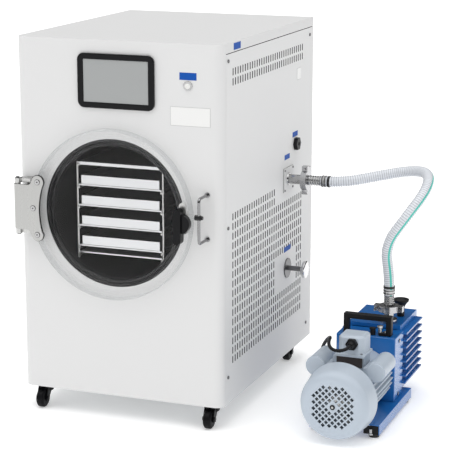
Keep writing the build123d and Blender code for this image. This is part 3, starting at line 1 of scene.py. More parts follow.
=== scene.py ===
# %% [markdown]
# # A freeze dryer with its vacuum pump
# This lesson dresses a finished mechanical model in Blender. The model arrives as a frame of rigid
# parts, in metres, with +Z up. The shapes that hold and move things are already right, so the work
# here is edges, finishes, soft lines and the small pieces that make a machine look real.

# %% Load the frame
import json
import math

import bmesh
import bpy
from mathutils import Matrix, Vector


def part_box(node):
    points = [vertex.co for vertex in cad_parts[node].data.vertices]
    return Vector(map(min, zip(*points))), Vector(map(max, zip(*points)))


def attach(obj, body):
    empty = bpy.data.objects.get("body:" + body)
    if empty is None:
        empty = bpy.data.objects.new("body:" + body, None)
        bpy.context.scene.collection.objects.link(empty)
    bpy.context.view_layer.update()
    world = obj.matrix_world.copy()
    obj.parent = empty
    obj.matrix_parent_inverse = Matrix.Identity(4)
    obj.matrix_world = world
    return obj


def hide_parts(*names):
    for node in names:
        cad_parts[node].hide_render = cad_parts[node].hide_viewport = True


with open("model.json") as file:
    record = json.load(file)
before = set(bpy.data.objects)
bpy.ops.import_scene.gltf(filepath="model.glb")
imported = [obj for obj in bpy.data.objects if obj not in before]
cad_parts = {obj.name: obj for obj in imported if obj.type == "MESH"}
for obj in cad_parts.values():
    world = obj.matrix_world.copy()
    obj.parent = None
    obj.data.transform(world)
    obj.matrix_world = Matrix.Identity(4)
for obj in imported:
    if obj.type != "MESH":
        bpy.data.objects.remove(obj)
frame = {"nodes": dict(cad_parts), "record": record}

scene = bpy.context.scene
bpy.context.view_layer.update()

# %% [markdown]
# Every measure below is written in millimetres from one point that is easy to find on the real
# machine: the floor below the middle of the cabinet's front. The helper turns such a measure into
# Blender's metres, so the numbers stay readable. A few places are used again and again, and get a
# name here: the face of the vented side, the vacuum port on it and the inlet on top of the pump.

# %% A point of the drawing
panel_low, panel_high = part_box("front_panel")
drawing_origin = Vector(((panel_low.x + panel_high.x) / 2, panel_low.y, 0.0))
side_face = 225
port_y, port_z = 400, 452
inlet_x, inlet_y = 484, 312


def at(x, y, z):
    """A point given in millimetres from the floor below the middle of the cabinet's front."""
    return drawing_origin + Vector((x, y, z)) / 1000


print("drawing origin:", [round(value, 4) for value in drawing_origin])

# %% [markdown]
# A long lens from well back keeps the cabinet's edges nearly parallel, as a catalogue camera does.
# The camera looks a little down and stands to the right, so that it sees the front, the vented
# side and the top.

# %% Camera
look_down, turned_left = 13.03, 20.93
camera_data = bpy.data.cameras.new("camera")
camera_data.lens = 132.4
camera = bpy.data.objects.new("camera", camera_data)
camera.location = at(1369, -2977, 1172)
camera.rotation_euler = (math.radians(90 - look_down), 0, math.radians(turned_left))
scene.collection.objects.link(camera)
scene.camera = camera
print("camera at", [round(value, 3) for value in camera.location])

# %% [markdown]
# A cord is one smooth curve. A NURBS spline of order 3 passes near its control points and never
# kinks, which is how rubber and PVC behave. The order is set after the points are added, because
# an empty spline would fall back to straight runs. A second helper returns the same line as bare
# points, and a third measures it.


# %% A smooth line along a route
def smooth_line(name, route, radius):
    """A round cord along a route of points in millimetres."""
    curve = bpy.data.curves.new(name, "CURVE")
    curve.dimensions = "3D"
    spline = curve.splines.new("NURBS")
    spline.points.add(len(route) - 1)
    for point, place in zip(spline.points, route):
        point.co = (*at(*place), 1)
    spline.order_u = 3
    spline.use_endpoint_u = True
    spline.resolution_u = 12
    curve.bevel_depth = radius / 1000
    curve.bevel_resolution = 5
    curve.use_fill_caps = True
    piece = bpy.data.objects.new(name, curve)
    scene.collection.objects.link(piece)
    return piece


def line_points(route):
    """Points along the smooth line of a route, as Blender evaluates it."""
    bare = smooth_line("bare_line", route, 0)
    bare.data.use_fill_caps = False
    mesh = bpy.data.meshes.new_from_object(bare)
    points = [vertex.co.copy() for vertex in mesh.vertices]
    bpy.data.objects.remove(bare)
    return points


def length_of(points):
    """The length of a line of points, in metres."""
    return sum((after - before).length for before, after in zip(points, points[1:]))


# %% [markdown]
# The pump's power cord leaves a gland on the terminal box, curls over the left capacitor and drops
# behind the motor to the floor. What is left of it is wound into a neat coil behind the pump, with
# the plug lying on top. The coil's turns are more points of the same spline: a turn keeps its
# radius and height for most of the way round, then slides over to those of the next one.

# %% The power cord's route
cord_radius = 3.5
cord_lift = cord_radius + 0.1
cord_route = [
    (467, 83, 186.5),
    (467, 68, 185),
    (452, 60, 181),
    (437, 61, 182),
    (426, 72, 187),
    (420, 92, 191),
    (415, 118, 189),
    (405, 146, 181),
    (391, 168, 167),
    (378, 184, 147),
    (370, 196, 120),
    (366, 203, 84),
    (365, 209, 50),
    (366, 224, 21),
    (369, 250, 6),
    (373, 285, cord_lift),
    (378, 325, cord_lift),
    (379, 365, cord_lift),
    (375, 400, cord_lift),
    (373.5, 434, cord_lift),
]
coil_x, coil_y = 415, 480
turn_radii = (41.8, 34.9, 34.9, 41.8, 41.8)
turn_heights = (cord_lift, cord_lift, 10.5, 10.5, 10.5)
steps_per_turn = 16
first_step, last_step = 2, 60
slide_from = 0.6
rise_from, rise_per_turn = 3.4, 16
for step in range(first_step, last_step + 1):
    turn = step / steps_per_turn
    lower = int(turn)
    share = max(0.0, (turn - lower - slide_from) / (1 - slide_from))
    radius = turn_radii[lower] * (1 - share) + turn_radii[lower + 1] * share
    height = turn_heights[lower] * (1 - share) + turn_heights[lower + 1] * share
    height += max(0.0, turn - rise_from) * rise_per_turn
    angle = math.radians(180 - 360 * turn)
    coil_point = (coil_x + radius * math.cos(angle), coil_y + radius * math.sin(angle), height)
    cord_route.append(coil_point)
cord_route += [(380, 459, 21.5), (377, 474, 23), (377, 488, 23)]
print("cord points:", len(cord_route))

# %% [markdown]
# The curve becomes a mesh before it is used, so that its size is simply the size of its points.

# %% The power cord
cord_curve = smooth_line("cord_curve", cord_route, cord_radius)
cord_mesh = bpy.data.meshes.new_from_object(cord_curve)
bpy.data.objects.remove(cord_curve)
cord_mesh.name = "power_cord"
cord_mesh.shade_smooth()
power_cord = bpy.data.objects.new("power_cord", cord_mesh)
scene.collection.objects.link(power_cord)
cord_line = line_points(cord_route)
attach(power_cord, "cabinet")
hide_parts("cord_tube", "cord_coil")

# %% [markdown]
# The vacuum hose is clear PVC wound over a steel wire, so it has a rib every few millimetres and
# bends in wide, even curves. Its centreline is the same kind of NURBS line as the cord. The wall
# needs ribs, though, so it is a mesh: one ring of points is set across the line at each step, and
# every ring is bridged to the next. A UV map that counts millimetres along the hose and turns
# around it lets the material follow the bends.

# %% The hose's route
hose_radius = 11.5
hose_route = [
    (302, port_y, port_z),
    (350, port_y, port_z),
    (416, 436, 464),
    (484, 449, 479),
    (540, 408, 487),
    (556, 334, 466),
    (526, 282, 416),
    (480, 284, 350),
    (inlet_x, inlet_y, 276),
    (inlet_x, inlet_y, 236),
]
hose_line = line_points(hose_route)


# %% Even steps along a line
def even_steps(points, step):
    """Places a step apart along a line, each with its direction, both ends included."""
    total = length_of(points)
    count = max(2, round(total / step))
    runs = [after - before for before, after in zip(points, points[1:])]
    places, directions = [], []
    index, passed = 0, 0.0
    for number in range(count + 1):
        wanted = total * number / count
        while index < len(runs) - 1 and passed + runs[index].length < wanted:
            passed += runs[index].length
            index += 1
        run = runs[index]
        share = min(1.0, (wanted - passed) / max(run.length, 1e-9))
        places.append(points[index] + run * share)
        directions.append(run.normalized())
    return places, directions


# %% A tube with its own UV map
def tube_piece(name, line, step, radius_at, sides=28):
    """A closed tube along a line; radius_at gives its radius in millimetres from the distance."""
    places, directions = even_steps(line, step / 1000)
    tube = bmesh.new()
    uv_layer = tube.loops.layers.uv.new("along_and_around")
    rings, distances = [], []
    travelled = 0.0
    turned = directions[0].to_track_quat("Z", "Y")
    for number, (place, direction) in enumerate(zip(places, directions)):
        if number:
            travelled += (place - places[number - 1]).length * 1000
            turned = directions[number - 1].rotation_difference(direction) @ turned
        across = Matrix.Translation(place) @ turned.to_matrix().to_4x4()
        radius = radius_at(travelled) / 1000
        ring = bmesh.ops.create_circle(tube, segments=sides, radius=radius, matrix=across)["verts"]
        rings.append(ring)
        distances.append(travelled)
    for first, second, low, high in zip(rings, rings[1:], distances, distances[1:]):
        for side in range(sides):
            after = (side + 1) % sides
            face = tube.faces.new((first[side], first[after], second[after], second[side]))
            face.smooth = True
            corners = ((low, side), (low, side + 1), (high, side + 1), (high, side))
            for loop, (along, around) in zip(face.loops, corners):
                loop[uv_layer].uv = (along, around / sides)
    for ring in (rings[0], rings[-1]):
        tube.faces.new(ring)
    bmesh.ops.recalc_face_normals(tube, faces=tube.faces)
    mesh = bpy.data.meshes.new(name)
    tube.to_mesh(mesh)
    tube.free()
    piece = bpy.data.objects.new(name, mesh)
    scene.collection.objects.link(piece)
    return piece


# %% The ribbed hose
rib_pitch = 5.0
rib_depth = 0.9


def hose_radius_at(distance):
    """The hose's radius at a distance in millimetres: a rounded rib over each turn of wire."""
    rib = 0.5 + 0.5 * math.cos(2 * math.pi * distance / rib_pitch)
    return hose_radius - rib_depth + rib_depth * rib


vacuum_hose = tube_piece("vacuum_hose_ribbed", hose_line, rib_pitch / 4, hose_radius_at)
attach(vacuum_hose, "cabinet")
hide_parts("vacuum_hose")
print("hose faces:", len(vacuum_hose.data.polygons))

# %% [markdown]
# Finishes come next, so that every piece can be given one when it is made. Most parts here are
# powder-coated, painted or moulded, and differ in colour, gloss and the tiny relief of the surface.
# One helper makes the Principled shader with a fine noise relief on Object coordinates, and each
# finish then adds what is special to it. Numbers that stay the same sit directly on the sockets.


# %% A node with its values
def add_node(tree, kind, values=None, **settings):
    """A shader node with values on its inputs and settings such as its operation."""
    node = tree.nodes.new("ShaderNode" + kind)
    for name, setting in settings.items():
        setattr(node, name, setting)
    for socket, value in (values or {}).items():
        node.inputs[socket].default_value = value
    return node


def shader_of(material):
    """The Principled shader of a material."""
    return material.node_tree.nodes["Principled BSDF"]


# %% A plain finish with a fine relief
relief_depth = 0.0004
coat_roughness = 0.15


def finish(name, colour, roughness, metallic=0.0, relief=0.0, grain=400, coat=0.0, specular=0.5):
    """A Principled material; relief is the bump's strength and grain its noise scale."""
    material = bpy.data.materials.new(name)
    material.use_nodes = True
    tree = material.node_tree
    link, shader = tree.links.new, shader_of(material)
    for socket, value in (
        ("Base Color", (*colour, 1)),
        ("Roughness", roughness),
        ("Metallic", metallic),
        ("Specular IOR Level", specular),
        ("Coat Weight", coat),
        ("Coat Roughness", coat_roughness),
    ):
        shader.inputs[socket].default_value = value
    if relief:
        place = add_node(tree, "TexCoord")
        noise = add_node(tree, "TexNoise", {"Scale": grain, "Detail": 3})
        bump = add_node(tree, "Bump", {"Strength": relief, "Distance": relief_depth})
        link(place.outputs["Object"], noise.inputs["Vector"])
        link(noise.outputs["Fac"], bump.inputs["Height"])
        link(bump.outputs["Normal"], shader.inputs["Normal"])
    return material


# %% Brushed metal
scratch_stretch = (400, 400, 4)
scratch_depth = 0.0002


def brushed(name, colour, roughness):
    """Metal with fine upright scratches, which also make its gloss uneven."""
    material = finish(name, colour, roughness, metallic=1.0)
    tree = material.node_tree
    link, shader = tree.links.new, shader_of(material)
    place = add_node(tree, "TexCoord")
    mapping = add_node(tree, "Mapping", {"Scale": scratch_stretch})
    noise = add_node(tree, "TexNoise", {"Scale": 1.0, "Detail": 4})
    spread = add_node(tree, "MapRange", {"To Min": roughness * 0.8, "To Max": roughness * 1.25})
    bump = add_node(tree, "Bump", {"Strength": 0.08, "Distance": scratch_depth})
    link(place.outputs["Object"], mapping.inputs["Vector"])
    link(mapping.outputs["Vector"], noise.inputs["Vector"])
    link(noise.outputs["Fac"], spread.inputs["Value"])
    link(spread.outputs["Result"], shader.inputs["Roughness"])
    link(noise.outputs["Fac"], bump.inputs["Height"])
    link(bump.outputs["Normal"], shader.inputs["Normal"])
    return material


# %% Finishes of the cabinet
coat_gloss = {"roughness": 0.55, "specular": 0.3}
white_coat = finish("white_powder_coat", (0.69, 0.69, 0.69), relief=0.1, grain=900, **coat_gloss)
stainless = brushed("satin_stainless", (0.56, 0.56, 0.55), 0.28)
plate_steel = brushed("plate_stainless", (0.47, 0.47, 0.46), 0.28)
dark_steel = finish("dark_steel", (0.16, 0.16, 0.165), 0.35, metallic=1.0)
turned_steel = finish("turned_stainless", (0.46, 0.46, 0.46), 0.16, metallic=1.0)
bar_steel = finish("drawn_steel_bar", (0.27, 0.27, 0.275), 0.22, metallic=1.0)
polished_steel = finish("polished_chrome", (0.72, 0.72, 0.73), 0.07, metallic=1.0)
zinc = finish("zinc_plated_steel", (0.55, 0.57, 0.58), 0.4, metallic=1.0, relief=0.05, grain=60)
tray_metal = finish("stamped_aluminium", (0.68, 0.69, 0.70), 0.32, metallic=1.0, relief=0.05)
cast_metal = finish("die_cast_aluminium", (0.50, 0.50, 0.51), 0.26, metallic=1.0, relief=0.1)
copper = finish("copper_tube", (0.72, 0.36, 0.2), 0.3, metallic=1.0)
gasket_rubber = finish("gasket_rubber", (0.010, 0.010, 0.011), 0.28, specular=0.35)
caster_rubber = finish("caster_rubber", (0.004, 0.004, 0.005), 0.45, relief=0.1, specular=0.12)
fork_plastic = finish("caster_plastic", (0.004, 0.004, 0.005), 0.3, relief=0.05, specular=0.15)
gloss_black = finish("gloss_black_plastic", (0.005, 0.005, 0.006), 0.14, specular=0.15)
matt_black = finish(
    "matt_black_plastic", (0.008, 0.008, 0.009), 0.42, relief=0.2, grain=1500, specular=0.2
)
black_enamel = finish("black_enamel", (0.012, 0.012, 0.013), 0.2, coat=0.5)
# Near black, for the sheets behind the vents: painted shade for the dark inside of the cabinet.
vent_shade_black = finish(
    "black_painted_shade_sheet", (0.010, 0.010, 0.011), 0.9, relief=0.5, grain=1200, specular=0.1
)
cap_white = finish("white_cap_plastic", (0.74, 0.74, 0.72), 0.35)
screen_glass = finish("screen_glass", (0.33, 0.34, 0.34), 0.16, specular=0.4)
label_blue = finish("blue_plate", (0.005, 0.078, 0.38), 0.5, specular=0.15)
label_white = finish("white_plate", (0.78, 0.78, 0.77), 0.3)
label_line = finish("grey_plate_edge", (0.42, 0.42, 0.42), 0.4)
cord_rubber = finish(
    "cord_rubber", (0.006, 0.006, 0.007), 0.4, relief=0.1, grain=900, specular=0.2
)
# The chamber is stainless steel; this near-black finish is painted shade for its dark inside.
chamber_painted_shade = finish("chamber_painted_shade", (0.014, 0.014, 0.015), 0.4, specular=0.3)
print("finishes:", len(bpy.data.materials))

# %% Finishes of the pump
motor_paint = finish("pale_blue_grey_paint", (0.45, 0.51, 0.58), 0.36, relief=0.2, grain=500)
blue_paint = finish("blue_enamel", (0.010, 0.13, 0.42), 0.22, relief=0.12, grain=300, coat=0.5)
brown_plate = finish("brown_plate", (0.035, 0.026, 0.024), 0.35)
print("finishes:", len(bpy.data.materials))

# %% [markdown]
# The door is a thick disc of clear acrylic. Real transmission would need many light bounces, so
# the disc mixes a faint mirror with plain transparency: polished acrylic sends back a few parts in
# a hundred of the light and lets the rest through. Outside the seal the disc is painted grey: on
# its outer ring that is painted shade, and on the polished rim, seen at a flat angle, a denser grey
# is a painted milky reflection. The distance from the disc's axis, on Object coordinates, tells the
# three apart.

# %% Where the disc is
disc_low, disc_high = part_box("door_disc")
disc_centre = (disc_low + disc_high) / 2
disc_radius = (disc_high.x - disc_low.x) / 2
seal_low, seal_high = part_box("door_seal")
seal_radius = (seal_high.x - seal_low.x) / 2
print("door disc radius:", round(disc_radius, 4), "seal radius:", round(seal_radius, 4))


# %% Clear acrylic for the door
def clear_acrylic(centre, seal_edge, rim_edge, mirror_share, ring_share, rim_share):
    """A faint mirror inside seal_edge, painted grey shade outside it and a painted milky reflection
    at rim_edge, in metres.
    """
    material = finish("clear_acrylic", (1, 1, 1), 0.04)
    tree = material.node_tree
    link, shader = tree.links.new, shader_of(material)
    place = add_node(tree, "TexCoord")
    to_axis = {"Location": (-centre.x, 0, -centre.z), "Scale": (1, 0, 1)}
    centred = add_node(tree, "Mapping", to_axis, vector_type="POINT")
    far = add_node(tree, "VectorMath", operation="LENGTH")
    link(place.outputs["Object"], centred.inputs["Vector"])
    link(centred.outputs["Vector"], far.inputs[0])
    larger = add_node(tree, "Math", operation="MAXIMUM")
    zones = ((seal_edge, 0.001, ring_share), (rim_edge, 0.002, rim_share))
    for input_number, (edge, width, share) in enumerate(zones):
        across_edge = {"From Min": edge - width, "From Max": edge}
        rise = {"To Min": mirror_share, "To Max": share}
        zone = add_node(tree, "MapRange", {**across_edge, **rise})
        link(far.outputs["Value"], zone.inputs["Value"])
        link(zone.outputs["Result"], larger.inputs[input_number])
    link(larger.outputs["Value"], shader.inputs["Alpha"])
    inside = add_node(tree, "Math", {1: seal_edge}, operation="LESS_THAN")
    link(far.outputs["Value"], inside.inputs[0])
    link(inside.outputs["Value"], shader.inputs["Metallic"])
    # Grey outside the seal: painted shade on the outer ring and a painted milky reflection on the
    # rim.
    shade_and_reflection_tones = {"A": (0.42, 0.44, 0.45, 1), "B": (1, 1, 1, 1)}
    shade_and_reflection_tone = add_node(tree, "Mix", shade_and_reflection_tones, data_type="RGBA")
    link(inside.outputs["Value"], shade_and_reflection_tone.inputs["Factor"])
    link(shade_and_reflection_tone.outputs["Result"], shader.inputs["Base Color"])
    return material


acrylic = clear_acrylic(
    disc_centre,
    seal_edge=seal_radius,
    rim_edge=disc_radius - 0.0005,
    mirror_share=0.009,
    ring_share=0.05,
    rim_share=0.4,
)
print("clear acrylic for the door")

# %% [markdown]
# The hose's finish reads its UV map. The first number counts millimetres along the hose, so a
# cosine of it draws the wire under each rib. The second number counts turns around the hose, and a
# narrow band of it is the teal marking line that runs along such hoses.


# %% Ribbed clear PVC
def ribbed_pvc(pitch, band_place, band_width):
    """Milky PVC with a darker wire line in each rib and a teal line along one side."""
    material = finish("ribbed_pvc", (0.66, 0.70, 0.74), 0.22, coat=0.2)
    tree = material.node_tree
    link, shader = tree.links.new, shader_of(material)
    place = add_node(tree, "UVMap", uv_map="along_and_around")
    split = add_node(tree, "SeparateXYZ")
    turns = add_node(tree, "Math", {1: 2 * math.pi / pitch}, operation="MULTIPLY")
    wave = add_node(tree, "Math", operation="COSINE")
    wire = add_node(tree, "MapRange", {"From Min": 0.25, "From Max": 0.95, "To Max": 0.75})
    band = {1: band_place, 2: band_width / 2}
    line = add_node(tree, "Math", band, operation="COMPARE")
    wired_tones = {"A": (0.70, 0.73, 0.77, 1), "B": (0.36, 0.36, 0.40, 1)}
    wired = add_node(tree, "Mix", wired_tones, data_type="RGBA")
    marked = add_node(tree, "Mix", {"B": (0.08, 0.52, 0.44, 1)}, data_type="RGBA")
    link(place.outputs["UV"], split.inputs["Vector"])
    link(split.outputs["X"], turns.inputs[0])
    link(turns.outputs["Value"], wave.inputs[0])
    link(wave.outputs["Value"], wire.inputs["Value"])
    link(wire.outputs["Result"], wired.inputs["Factor"])
    link(split.outputs["Y"], line.inputs[0])
    link(line.outputs["Value"], marked.inputs["Factor"])
    link(wired.outputs["Result"], marked.inputs["A"])
    link(marked.outputs["Result"], shader.inputs["Base Color"])
    return material


vacuum_hose.data.materials.append(ribbed_pvc(rib_pitch, band_place=0.8, band_width=0.07))
power_cord.data.materials.append(cord_rubber)
print("finished:", vacuum_hose.name, "and", power_cord.name)

# %% [markdown]
# The frame's parts have knife-sharp edges, which no real part has: folded sheet, castings and
# mouldings all catch a thin line of light along their edges. Each part is copied, its loose
# triangles are welded and its flat triangles joined, and a Bevel modifier rounds what is left
# sharp. The copy then stands for the part. The big perforated sheets keep their own mesh, because
# hundreds of slots need no bevel.

# %% Softened copies of the frame's parts
body_of = {
    node: body for body, nodes in frame["record"]["behaviour"]["bodies"].items() for node in nodes
}
crisp_angle = 35
weld_distance = 1e-5
flat_angle = 0.5


def shade(mesh):
    """Smooth shading that stays crisp at real edges."""
    mesh.shade_smooth()
    mesh.set_sharp_from_angle(angle=math.radians(crisp_angle))


def soften(piece, width, segments=2):
    """A Bevel modifier, with its width in millimetres."""
    bevel = piece.modifiers.new("soft_edges", "BEVEL")
    bevel.width = width / 1000
    bevel.segments = segments
    bevel.profile = 0.5
    bevel.limit_method = "ANGLE"
    bevel.angle_limit = math.radians(crisp_angle)
    bevel.harden_normals = True


def dress(node, material, edge=0.6, segments=2):
    """A welded copy of a frame part with soft edges, which stands for the part."""
    welded = bmesh.new()
    welded.from_mesh(frame["nodes"][node].data)
    bmesh.ops.remove_doubles(welded, verts=welded.verts, dist=weld_distance)
    bmesh.ops.dissolve_limit(
        welded, angle_limit=math.radians(flat_angle), verts=welded.verts, edges=welded.edges
    )
    mesh = bpy.data.meshes.new(node + "_dressed")
    welded.to_mesh(mesh)
    welded.free()
    shade(mesh)
    mesh.materials.append(material)
    piece = bpy.data.objects.new(node + "_dressed", mesh)
    scene.collection.objects.link(piece)
    if edge:
        soften(piece, edge, segments)
    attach(piece, body_of[node])
    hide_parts(node)


def paint(node, material):
    """A frame part that keeps its own mesh and only gets a finish."""
    part = frame["nodes"][node]
    part.data.materials.clear()
    part.data.materials.append(material)


# %% [markdown]
# The vented sheets are white on their outer skin only. Their inside and the walls of the slots are
# painted near black, which is painted shade, and that is what the eye reads as a row of black
# vents.
# The paint therefore looks at how far a point lies from the cabinet's middle, on Object
# coordinates:
# only the outermost skin of the sheets is white.

# %% White outer skin, painted shade deeper in
sheet_white = (0.71, 0.71, 0.71)
side_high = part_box("right_panel")[1]
rear_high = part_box("rear_panel")[1]


def white_skin_and_slot_shade(skin):
    """White on the outer skin of the side and rear sheets, painted near-black shade on what lies
    deeper, in metres.
    """
    material = finish("white_skin_painted_slot_shade", sheet_white, **coat_gloss)
    tree = material.node_tree
    link, shader = tree.links.new, shader_of(material)
    place = add_node(tree, "TexCoord")
    split = add_node(tree, "SeparateXYZ")
    from_middle = add_node(tree, "Math", {1: drawing_origin.x}, operation="SUBTRACT")
    sideways = add_node(tree, "Math", operation="ABSOLUTE")
    link(place.outputs["Object"], split.inputs["Vector"])
    link(split.outputs["X"], from_middle.inputs[0])
    link(from_middle.outputs["Value"], sideways.inputs[0])
    either = add_node(tree, "Math", operation="MAXIMUM")
    side_skin = side_high.x - drawing_origin.x - skin
    rear_skin = rear_high.y - skin
    skins = ((sideways.outputs["Value"], side_skin), (split.outputs["Y"], rear_skin))
    for input_number, (place_along_axis, limit) in enumerate(skins):
        beyond = add_node(tree, "Math", {1: limit}, operation="GREATER_THAN")
        link(place_along_axis, beyond.inputs[0])
        link(beyond.outputs["Value"], either.inputs[input_number])
    # Near black deeper than the skin: painted shade on the slot walls and the sheets' inside.
    tones = {"A": (0.012, 0.012, 0.013, 1), "B": (*sheet_white, 1)}
    tone = add_node(tree, "Mix", tones, data_type="RGBA")
    link(either.outputs["Value"], tone.inputs["Factor"])
    link(tone.outputs["Result"], shader.inputs["Base Color"])
    return material


# %% [markdown]
# Now every part of the frame gets its finish, group by group. The width of the soft edge follows
# the way the part is made: wide on folded sheet and moulded grips, narrow on turned steel.

# %% Cabinet
dress("front_panel", white_coat, edge=1.2, segments=3)
dress("top_cover", white_coat, edge=1.5, segments=3)
# The side and rear sheets: white outside, painted shade on the slot walls.
sheet_white_and_slot_shade = white_skin_and_slot_shade(0.0003)
for node in ("right_panel", "left_panel", "rear_panel"):
    paint(node, sheet_white_and_slot_shade)
dress("base_frame", zinc, edge=0.5)
dress("panel_screws", dark_steel, edge=0.3)
print("cabinet dressed")

# %% Display and button
dress("display_bezel", gloss_black, edge=2.0, segments=4)
dress("display_screen", screen_glass, edge=0.3)
dress("button_bezel", turned_steel, edge=0.4)
dress("power_button", cap_white, edge=0.6)
print("display and button dressed")

# %% Chamber, rack and trays
# Painted shade: the stainless chamber gets a near-black finish.
dress("vacuum_chamber", chamber_painted_shade, edge=0.5)
dress("door_seal", gasket_rubber, edge=0.6)
paint("evaporator_coil", copper)
dress("rack_frame", stainless, edge=0.3)
dress("shelf_plates", tray_metal, edge=0.3)
dress("trays", tray_metal, edge=0.3)
print("chamber, rack and trays dressed")

# %% Door and latch
paint("door_disc", acrylic)
dress("latch_mount", stainless, edge=0.6)
dress("latch_tongue", stainless, edge=0.6)
dress("latch_handle", gloss_black, edge=2.0, segments=4)
paint("catch_bar", bar_steel)
print("door and latch dressed")

# %% Refrigeration parts
for node, material in (
    ("compressor", black_enamel),
    ("condenser", tray_metal),
    ("condenser_fan", matt_black),
    ("control_box", zinc),
):
    paint(node, material)
print("refrigeration parts painted")

# %% Ports, drain and glands
dress("vacuum_port", turned_steel, edge=0.4)
dress("kf_clamps", cast_metal, edge=0.8)
dress("hose_adapters", turned_steel, edge=0.3)
dress("drain_valve", dark_steel, edge=0.4)
dress("drain_knob", polished_steel, edge=0.8)
dress("cable_glands", matt_black, edge=0.6)
print("ports, drain and glands dressed")

# %% Casters
for corner in ("front_left", "front_right", "rear_left", "rear_right"):
    dress("caster_fork_" + corner, fork_plastic, edge=0.5)
    dress("caster_wheel_" + corner, caster_rubber, edge=0.8)
dress("caster_plates", fork_plastic, edge=0.3)
print("casters dressed")

# %% Vacuum pump
dress("pump_base", blue_paint, edge=0.6)
dress("pump_feet", gasket_rubber, edge=0.8)
dress("pump_support", blue_paint, edge=2.5, segments=3)
dress("oil_case", blue_paint, edge=0.8)
dress("pump_motor", motor_paint, edge=0.8)
dress("fan_cover", motor_paint, edge=0.0)
paint("cooling_fan", cap_white)
paint("motor_shaft", turned_steel)
dress("terminal_box", motor_paint, edge=1.5, segments=3)
dress("pump_handle", matt_black, edge=2.5, segments=3)
dress("pump_inlet", turned_steel, edge=0.4)
dress("exhaust_cap", matt_black, edge=1.0)
paint("cord_plug", cord_rubber)

# %% [markdown]
# What is left is small: labels, screws, black sheets of painted shade behind the vents, pump
# fittings.
# Each is a closed mesh made from blocks and rods, and all the pieces of one finish and one body
# share a mesh, which keeps the scene tidy. Helpers add a block, a rod or an upright rod to such a
# mesh, and the last one turns the mesh into a piece.


# %% Blocks, rods and pieces
def block_into(built, low, high):
    """Add a closed block between two corners in millimetres."""
    low, high = at(*low), at(*high)
    spread = Matrix.Diagonal((*(high - low), 1))
    bmesh.ops.create_cube(built, size=1, matrix=Matrix.Translation((low + high) / 2) @ spread)


def rod_into(built, start, end, radius, end_radius=None, sides=24):
    """Add a closed rod or cone between two points in millimetres."""
    start, end = at(*start), at(*end)
    turned = (end - start).to_track_quat("Z", "Y").to_matrix().to_4x4()
    bmesh.ops.create_cone(
        built,
        cap_ends=True,
        segments=sides,
        radius1=radius / 1000,
        radius2=(radius if end_radius is None else end_radius) / 1000,
        depth=(end - start).length,
        matrix=Matrix.Translation((start + end) / 2) @ turned,
    )


def post_into(built, x, y, low, high, radius, end_radius=None, sides=24):
    """Add an upright rod or cone between two heights in millimetres."""
    rod_into(built, (x, y, low), (x, y, high), radius, end_radius, sides)


def keep(name, built, material, body, edge=0.0):
    """Turn a built mesh into a piece that rides on a body; edge rounds it, in millimetres."""
    mesh = bpy.data.meshes.new(name)
    built.to_mesh(mesh)
    built.free()
    shade(mesh)
    mesh.materials.append(material)
    piece = bpy.data.objects.new(name, mesh)
    scene.collection.objects.link(piece)
    if edge:
        soften(piece, edge)
    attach(piece, body)
    return piece


# %% [markdown]
# The vents would let light through an empty cabinet. On the real machine the inside behind the
# slots lies in shade among the machinery, so a thin black sheet stands a few millimetres behind
# each field of vents as painted shade, and every slot reads black.

# %% Black sheets of painted shade behind the vents
shade_sheet_x, shade_sheet_thickness = 219, 1
shade_sheet_front, shade_sheet_rear = 45, 560
rear_shade_sheet_y = 563.6
# Each block is a thin black sheet of painted shade behind a field of vents.
shade_sheets = bmesh.new()
for side, low_z, high_z in ((1, 122, 452), (1, 690, 750), (-1, 690, 750)):
    near, far = sorted((side * shade_sheet_x, side * (shade_sheet_x + shade_sheet_thickness)))
    block_into(shade_sheets, (near, shade_sheet_front, low_z), (far, shade_sheet_rear, high_z))
block_into(shade_sheets, (-135, rear_shade_sheet_y, 85), (135, rear_shade_sheet_y + shade_sheet_thickness, 275))
keep("vent_shade_sheets", shade_sheets, vent_shade_black, "cabinet")
print("mats behind the vents")

# %% [markdown]
# Machines like this one carry plates with words on them. Their places are kept, as bare plates. A
# plate is sunk a little into the sheet, so that no light gets in behind it, and each white plate
# lies on a thinner grey one, which shows as a fine line around it.

# %% Bare plates
plate_sunk = 0.1
plate_thickness, edge_thickness = 0.4, 0.2
plate_border = 0.7


def plate_on_front(built, low, high, thickness):
    """A thin block on the front panel, between two corners given by x and z."""
    block_into(built, (low[0], -thickness, low[1]), (high[0], plate_sunk, high[1]))


def plate_on_side(built, low, high, thickness):
    """A thin block on the right panel, between two corners given by y and z."""
    block_into(built, (side_face - plate_sunk, *low), (side_face + thickness, *high))


blue_plates = bmesh.new()
plate_on_front(blue_plates, (135, 718.5), (171, 733), plate_thickness)
for low, high in (
    ((430, 538.5), (465, 549.5)),
    ((377, 496.5), (411, 507.5)),
    ((378, 289), (422, 300)),
    ((62, 773.5), (101, 787)),
):
    plate_on_side(blue_plates, low, high, plate_thickness)
keep("blue_plates", blue_plates, label_blue, "cabinet")
plate_edges, white_plates = bmesh.new(), bmesh.new()
for plate_on, low, high in (
    (plate_on_front, (115, 627), (200, 665)),
    (plate_on_side, (457, 662), (483, 688)),
):
    plate_on(plate_edges, low, high, edge_thickness)
    inner_low = [value + plate_border for value in low]
    inner_high = [value - plate_border for value in high]
    plate_on(white_plates, inner_low, inner_high, plate_thickness)
keep("plate_edges", plate_edges, label_line, "cabinet")
keep("white_plates", white_plates, label_white, "cabinet")
print("bare plates on the front, the side and the top cover")

